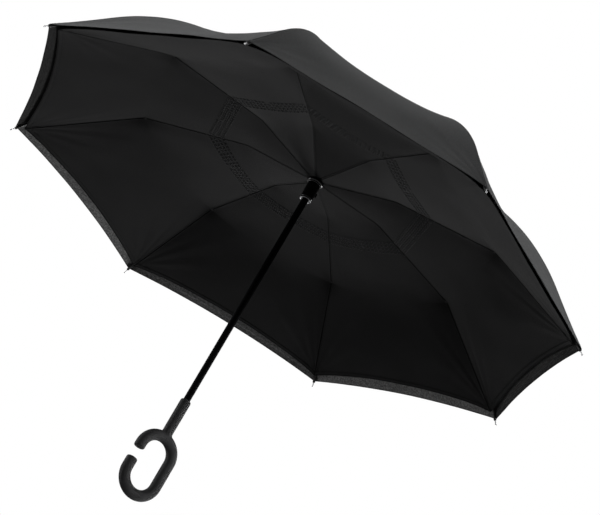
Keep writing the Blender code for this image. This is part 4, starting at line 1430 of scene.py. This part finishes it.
def rib_tips(scene):
    """A black socket on each outer rib's end, with a bright pin and its ball."""
    angle = heading(bow_place(BOW[-2]), bow_place(BOW[-1]))
    socket = [
        (0, -0.0010),
        (0.0019, -0.0010),
        (0.0019, -0.0120),
        (0.0023, -0.0120),
        (0.0025, -0.0117),
        (0.0025, -0.0015),
        (0.0022, -0.0008),
        (0.0014, -0.0002),
        (0, -0.0002),
    ]
    pin = [
        (0, -0.0001),
        (0.0011, -0.0001),
        (0.0011, 0.0057),
        *arc((0, 0.0070), 0.0015, -0.75, math.pi / 2, 7),
    ]
    for rib in range(RIBS):
        number = rib + 1
        end = rib_frame(rib) @ Matrix.Translation((TIP[0], 0, TIP[1]))
        place = end @ Matrix.Rotation(math.pi / 2 - angle, 4, "Y")
        for name, profile, finish, slot in (
            ("tip_socket", socket, "black_plastic", "black_plastic"),
            ("tip_pin", pin, "satin_nickel", "chrome"),
        ):
            obj = lathe(f"{name}_{number}", profile, FINISHES[finish], steps=24)
            obj.data.transform(place)
            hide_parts(f"rib_tip_{number}")
            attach(obj, f"outer_rib_{number}")


# Carried-over links


def link_finishes(scene):
    """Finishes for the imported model's own nodes that stay in view."""
    kinds = (
        ("lower_rib", "drawn_steel"),
        ("strut", "drawn_steel"),
        ("outer_rib", "coated_rod"),
        ("crown_notch", "black_plastic"),
        ("runner_core", "black_plastic"),
        ("crown_wire", "drawn_steel"),
        ("runner_wire", "drawn_steel"),
        ("button_spring", "drawn_steel"),
        ("runner_button", "black_plastic"),
    )
    for name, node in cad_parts.items():
        for kind, finish in kinds:
            if name.startswith(kind):
                for place in node.material_slots:
                    place.material = FINISHES[finish]
                node.data.set_sharp_from_angle(angle=SHARP)


# Stage

WHITE = (1.0, 1.0, 1.0, 1.0)


def seen_rays(tree):
    """1 for rays from the camera, metal or glass, and 0 for those that light the umbrella."""
    path = tree.nodes.new("ShaderNodeLightPath")
    seen = path.outputs["Is Camera Ray"]
    for output in ("Is Glossy Ray", "Is Transmission Ray"):
        either = tree.nodes.new("ShaderNodeMath")
        either.operation = "MAXIMUM"
        tree.links.new(seen, either.inputs[0])
        tree.links.new(path.outputs[output], either.inputs[1])
        seen = either.outputs[0]
    return seen


def pale_floor(settings):
    """A round floor that keeps the umbrella's shadow, and that the camera sees almost white."""
    shape = bmesh.new()
    bmesh.ops.create_circle(shape, cap_ends=True, segments=96, radius=settings.floor_radius)
    mesh = bpy.data.meshes.new("pale_floor")
    shape.to_mesh(mesh)
    shape.free()
    floor = new_object("pale_floor", mesh)
    floor.location.z = -settings.floor_drop
    finish = Finish("floor_paint", settings.floor, roughness=0.9, specular=0.1)
    finish.tinted(finish.spread(finish.noise(0.8, finish.where(), 2.0), 0.985, 1.015, *NOISE_RANGE))
    finish.put("Emission Color", WHITE)
    finish.put("Emission Strength", finish.product(seen_rays(finish.tree), settings.floor_glow))
    mesh.materials.append(finish.made)


def white_surround(scene, settings):
    """A world that looks white, and lights the umbrella only a little."""
    world = bpy.data.worlds.new("studio")
    scene.world = world
    world.use_nodes = True
    tree = world.node_tree
    tree.nodes.clear()
    mix = tree.nodes.new("ShaderNodeMixShader")
    tree.links.new(seen_rays(tree), mix.inputs[0])
    for slot, strength in ((1, settings.ambient), (2, 1.0)):
        light = tree.nodes.new("ShaderNodeBackground")
        light.inputs[0].default_value = WHITE
        light.inputs[1].default_value = strength
        tree.links.new(light.outputs[0], mix.inputs[slot])
    out = tree.nodes.new("ShaderNodeOutputWorld")
    tree.links.new(mix.outputs[0], out.inputs[0])


def photo_camera(scene, settings):
    """The camera at the photograph's place and angle."""
    lens = bpy.data.cameras.new("camera")
    lens.lens = settings.lens
    lens.sensor_width = 36.0
    lens.sensor_fit = "HORIZONTAL"
    lens.clip_end = 200.0
    camera = new_object("camera", lens)
    camera.location = settings.camera_place
    camera.rotation_euler = settings.camera_turn
    scene.camera = camera


def soft_lamps(settings):
    """Two tall lamps at the sides, two under the canopy, one over it, and two aimed at the handle."""
    wide, narrow = settings.spread, settings.grip_spread
    for name, watts, azimuth, distance, height, size, spread, aim_height in (
        ("lamp_right", settings.right_power, 2.97, 3.2, 1.6, (0.7, 1.6), wide, HUB),
        ("lamp_left", settings.left_power, 5.67, 3.2, 1.6, (0.7, 1.6), wide, HUB),
        ("lamp_low", settings.low_power, 3.49, 3.0, -0.9, (1.4, 1.2), wide, HUB),
        ("lamp_back", settings.back_power, 5.60, 3.0, -0.9, (1.2, 1.2), wide, HUB),
        ("lamp_top", settings.top_power, 2.0, 1.0, 4.2, (3.0, 3.0), wide, HUB),
        ("lamp_grip_right", settings.grip_right_power, 2.34, 1.6, -0.1, (0.3, 0.3), narrow, -0.03),
        ("lamp_grip_left", settings.grip_left_power, 6.02, 1.6, -0.1, (0.3, 0.3), narrow, -0.03),
    ):
        lamp = bpy.data.lights.new(name, "AREA")
        lamp.shape = "RECTANGLE"
        lamp.size, lamp.size_y = size
        lamp.energy = watts
        lamp.spread = spread
        obj = new_object(name, lamp)
        obj.location = (distance * math.cos(azimuth), distance * math.sin(azimuth), height)
        aim = Vector((0, 0, aim_height)) - obj.location
        obj.rotation_euler = aim.to_track_quat("-Z", "Y").to_euler()
        obj.visible_camera = False


def stage(scene):
    """A pale floor far below, a white surround for the camera, the camera and soft lamps."""
    settings = scene.umbrella_stage
    pale_floor(settings)
    white_surround(scene, settings)
    photo_camera(scene, settings)
    soft_lamps(settings)


# Operators


class UMBRELLA_OT_finishes(Operator):
    """Make the umbrella's cloth, rubber, plastic and metal finishes"""

    bl_idname = "umbrella.finishes"
    bl_label = "Finishes"

    def execute(self, context):
        prepare_finishes(context.scene)
        return {"FINISHED"}


class UMBRELLA_OT_inner_canopy(Operator):
    """Make the inner canopy with its seams, hem, vents and ties"""

    bl_idname = "umbrella.inner_canopy"
    bl_label = "Inner canopy"

    def execute(self, context):
        inner_canopy(context.scene)
        return {"FINISHED"}


class UMBRELLA_OT_outer_canopy(Operator):
    """Make the outer canopy with its seams and hem"""

    bl_idname = "umbrella.outer_canopy"
    bl_label = "Outer canopy"

    def execute(self, context):
        outer_canopy(context.scene)
        return {"FINISHED"}


class UMBRELLA_OT_handle(Operator):
    """Make the moulded handle with its hand loop"""

    bl_idname = "umbrella.handle"
    bl_label = "Handle"

    def execute(self, context):
        handle(context.scene)
        return {"FINISHED"}


class UMBRELLA_OT_shaft(Operator):
    """Make the shaft and the cap on its top"""

    bl_idname = "umbrella.shaft"
    bl_label = "Shaft and cap"

    def execute(self, context):
        shaft(context.scene)
        return {"FINISHED"}


class UMBRELLA_OT_runner(Operator):
    """Make the runner's cover, rim and ring"""

    bl_idname = "umbrella.runner"
    bl_label = "Runner"

    def execute(self, context):
        runner(context.scene)
        return {"FINISHED"}


class UMBRELLA_OT_rib_tips(Operator):
    """Make the metal tips of the ribs"""

    bl_idname = "umbrella.rib_tips"
    bl_label = "Rib tips"

    def execute(self, context):
        rib_tips(context.scene)
        return {"FINISHED"}


class UMBRELLA_OT_links(Operator):
    """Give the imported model's ribs, struts, discs and wires their finishes"""

    bl_idname = "umbrella.links"
    bl_label = "Link finishes"

    def execute(self, context):
        link_finishes(context.scene)
        return {"FINISHED"}


class UMBRELLA_OT_stage(Operator):
    """Set up the floor, the surround, the lamps and the camera"""

    bl_idname = "umbrella.stage"
    bl_label = "Stage"

    def execute(self, context):
        stage(context.scene)
        return {"FINISHED"}


OPERATORS = (
    UMBRELLA_OT_stage,
    UMBRELLA_OT_finishes,
    UMBRELLA_OT_inner_canopy,
    UMBRELLA_OT_outer_canopy,
    UMBRELLA_OT_handle,
    UMBRELLA_OT_shaft,
    UMBRELLA_OT_runner,
    UMBRELLA_OT_rib_tips,
    UMBRELLA_OT_links,
)


class UMBRELLA_PT_panel(Panel):
    """Lists the umbrella's settings and the steps that make it"""

    bl_idname = "UMBRELLA_PT_panel"
    bl_label = "Inverted umbrella"
    bl_space_type = "VIEW_3D"
    bl_region_type = "UI"
    bl_category = "Umbrella"

    def draw(self, context):
        layout = self.layout
        for operator_class in OPERATORS:
            layout.operator(operator_class.bl_idname)
        for name, group in SETTINGS:
            box = layout.box()
            box.label(text=name.replace("umbrella_", "").capitalize())
            settings = getattr(context.scene, name)
            for key in group.__annotations__:
                box.prop(settings, key)


SETTINGS = (
    ("umbrella_cloth", UmbrellaCloth),
    ("umbrella_canopy", UmbrellaCanopy),
    ("umbrella_handle", UmbrellaHandle),
    ("umbrella_metal", UmbrellaMetal),
    ("umbrella_stage", UmbrellaStage),
)
CLASSES = (*(group for _, group in SETTINGS), *OPERATORS, UMBRELLA_PT_panel)


def register():
    for cls in CLASSES:
        bpy.utils.register_class(cls)
    for name, group in SETTINGS:
        setattr(bpy.types.Scene, name, PointerProperty(type=group))


def unregister():
    for name, _ in SETTINGS:
        delattr(bpy.types.Scene, name)
    for cls in reversed(CLASSES):
        bpy.utils.unregister_class(cls)


def main():
    register()
    bpy.context.scene.view_settings.view_transform = "Standard"
    for operator_class in OPERATORS:
        _, step = operator_class.bl_idname.split(".")
        getattr(bpy.ops.umbrella, step)()
    bpy.context.view_layer.update()


if __name__ == "__main__":
    main()
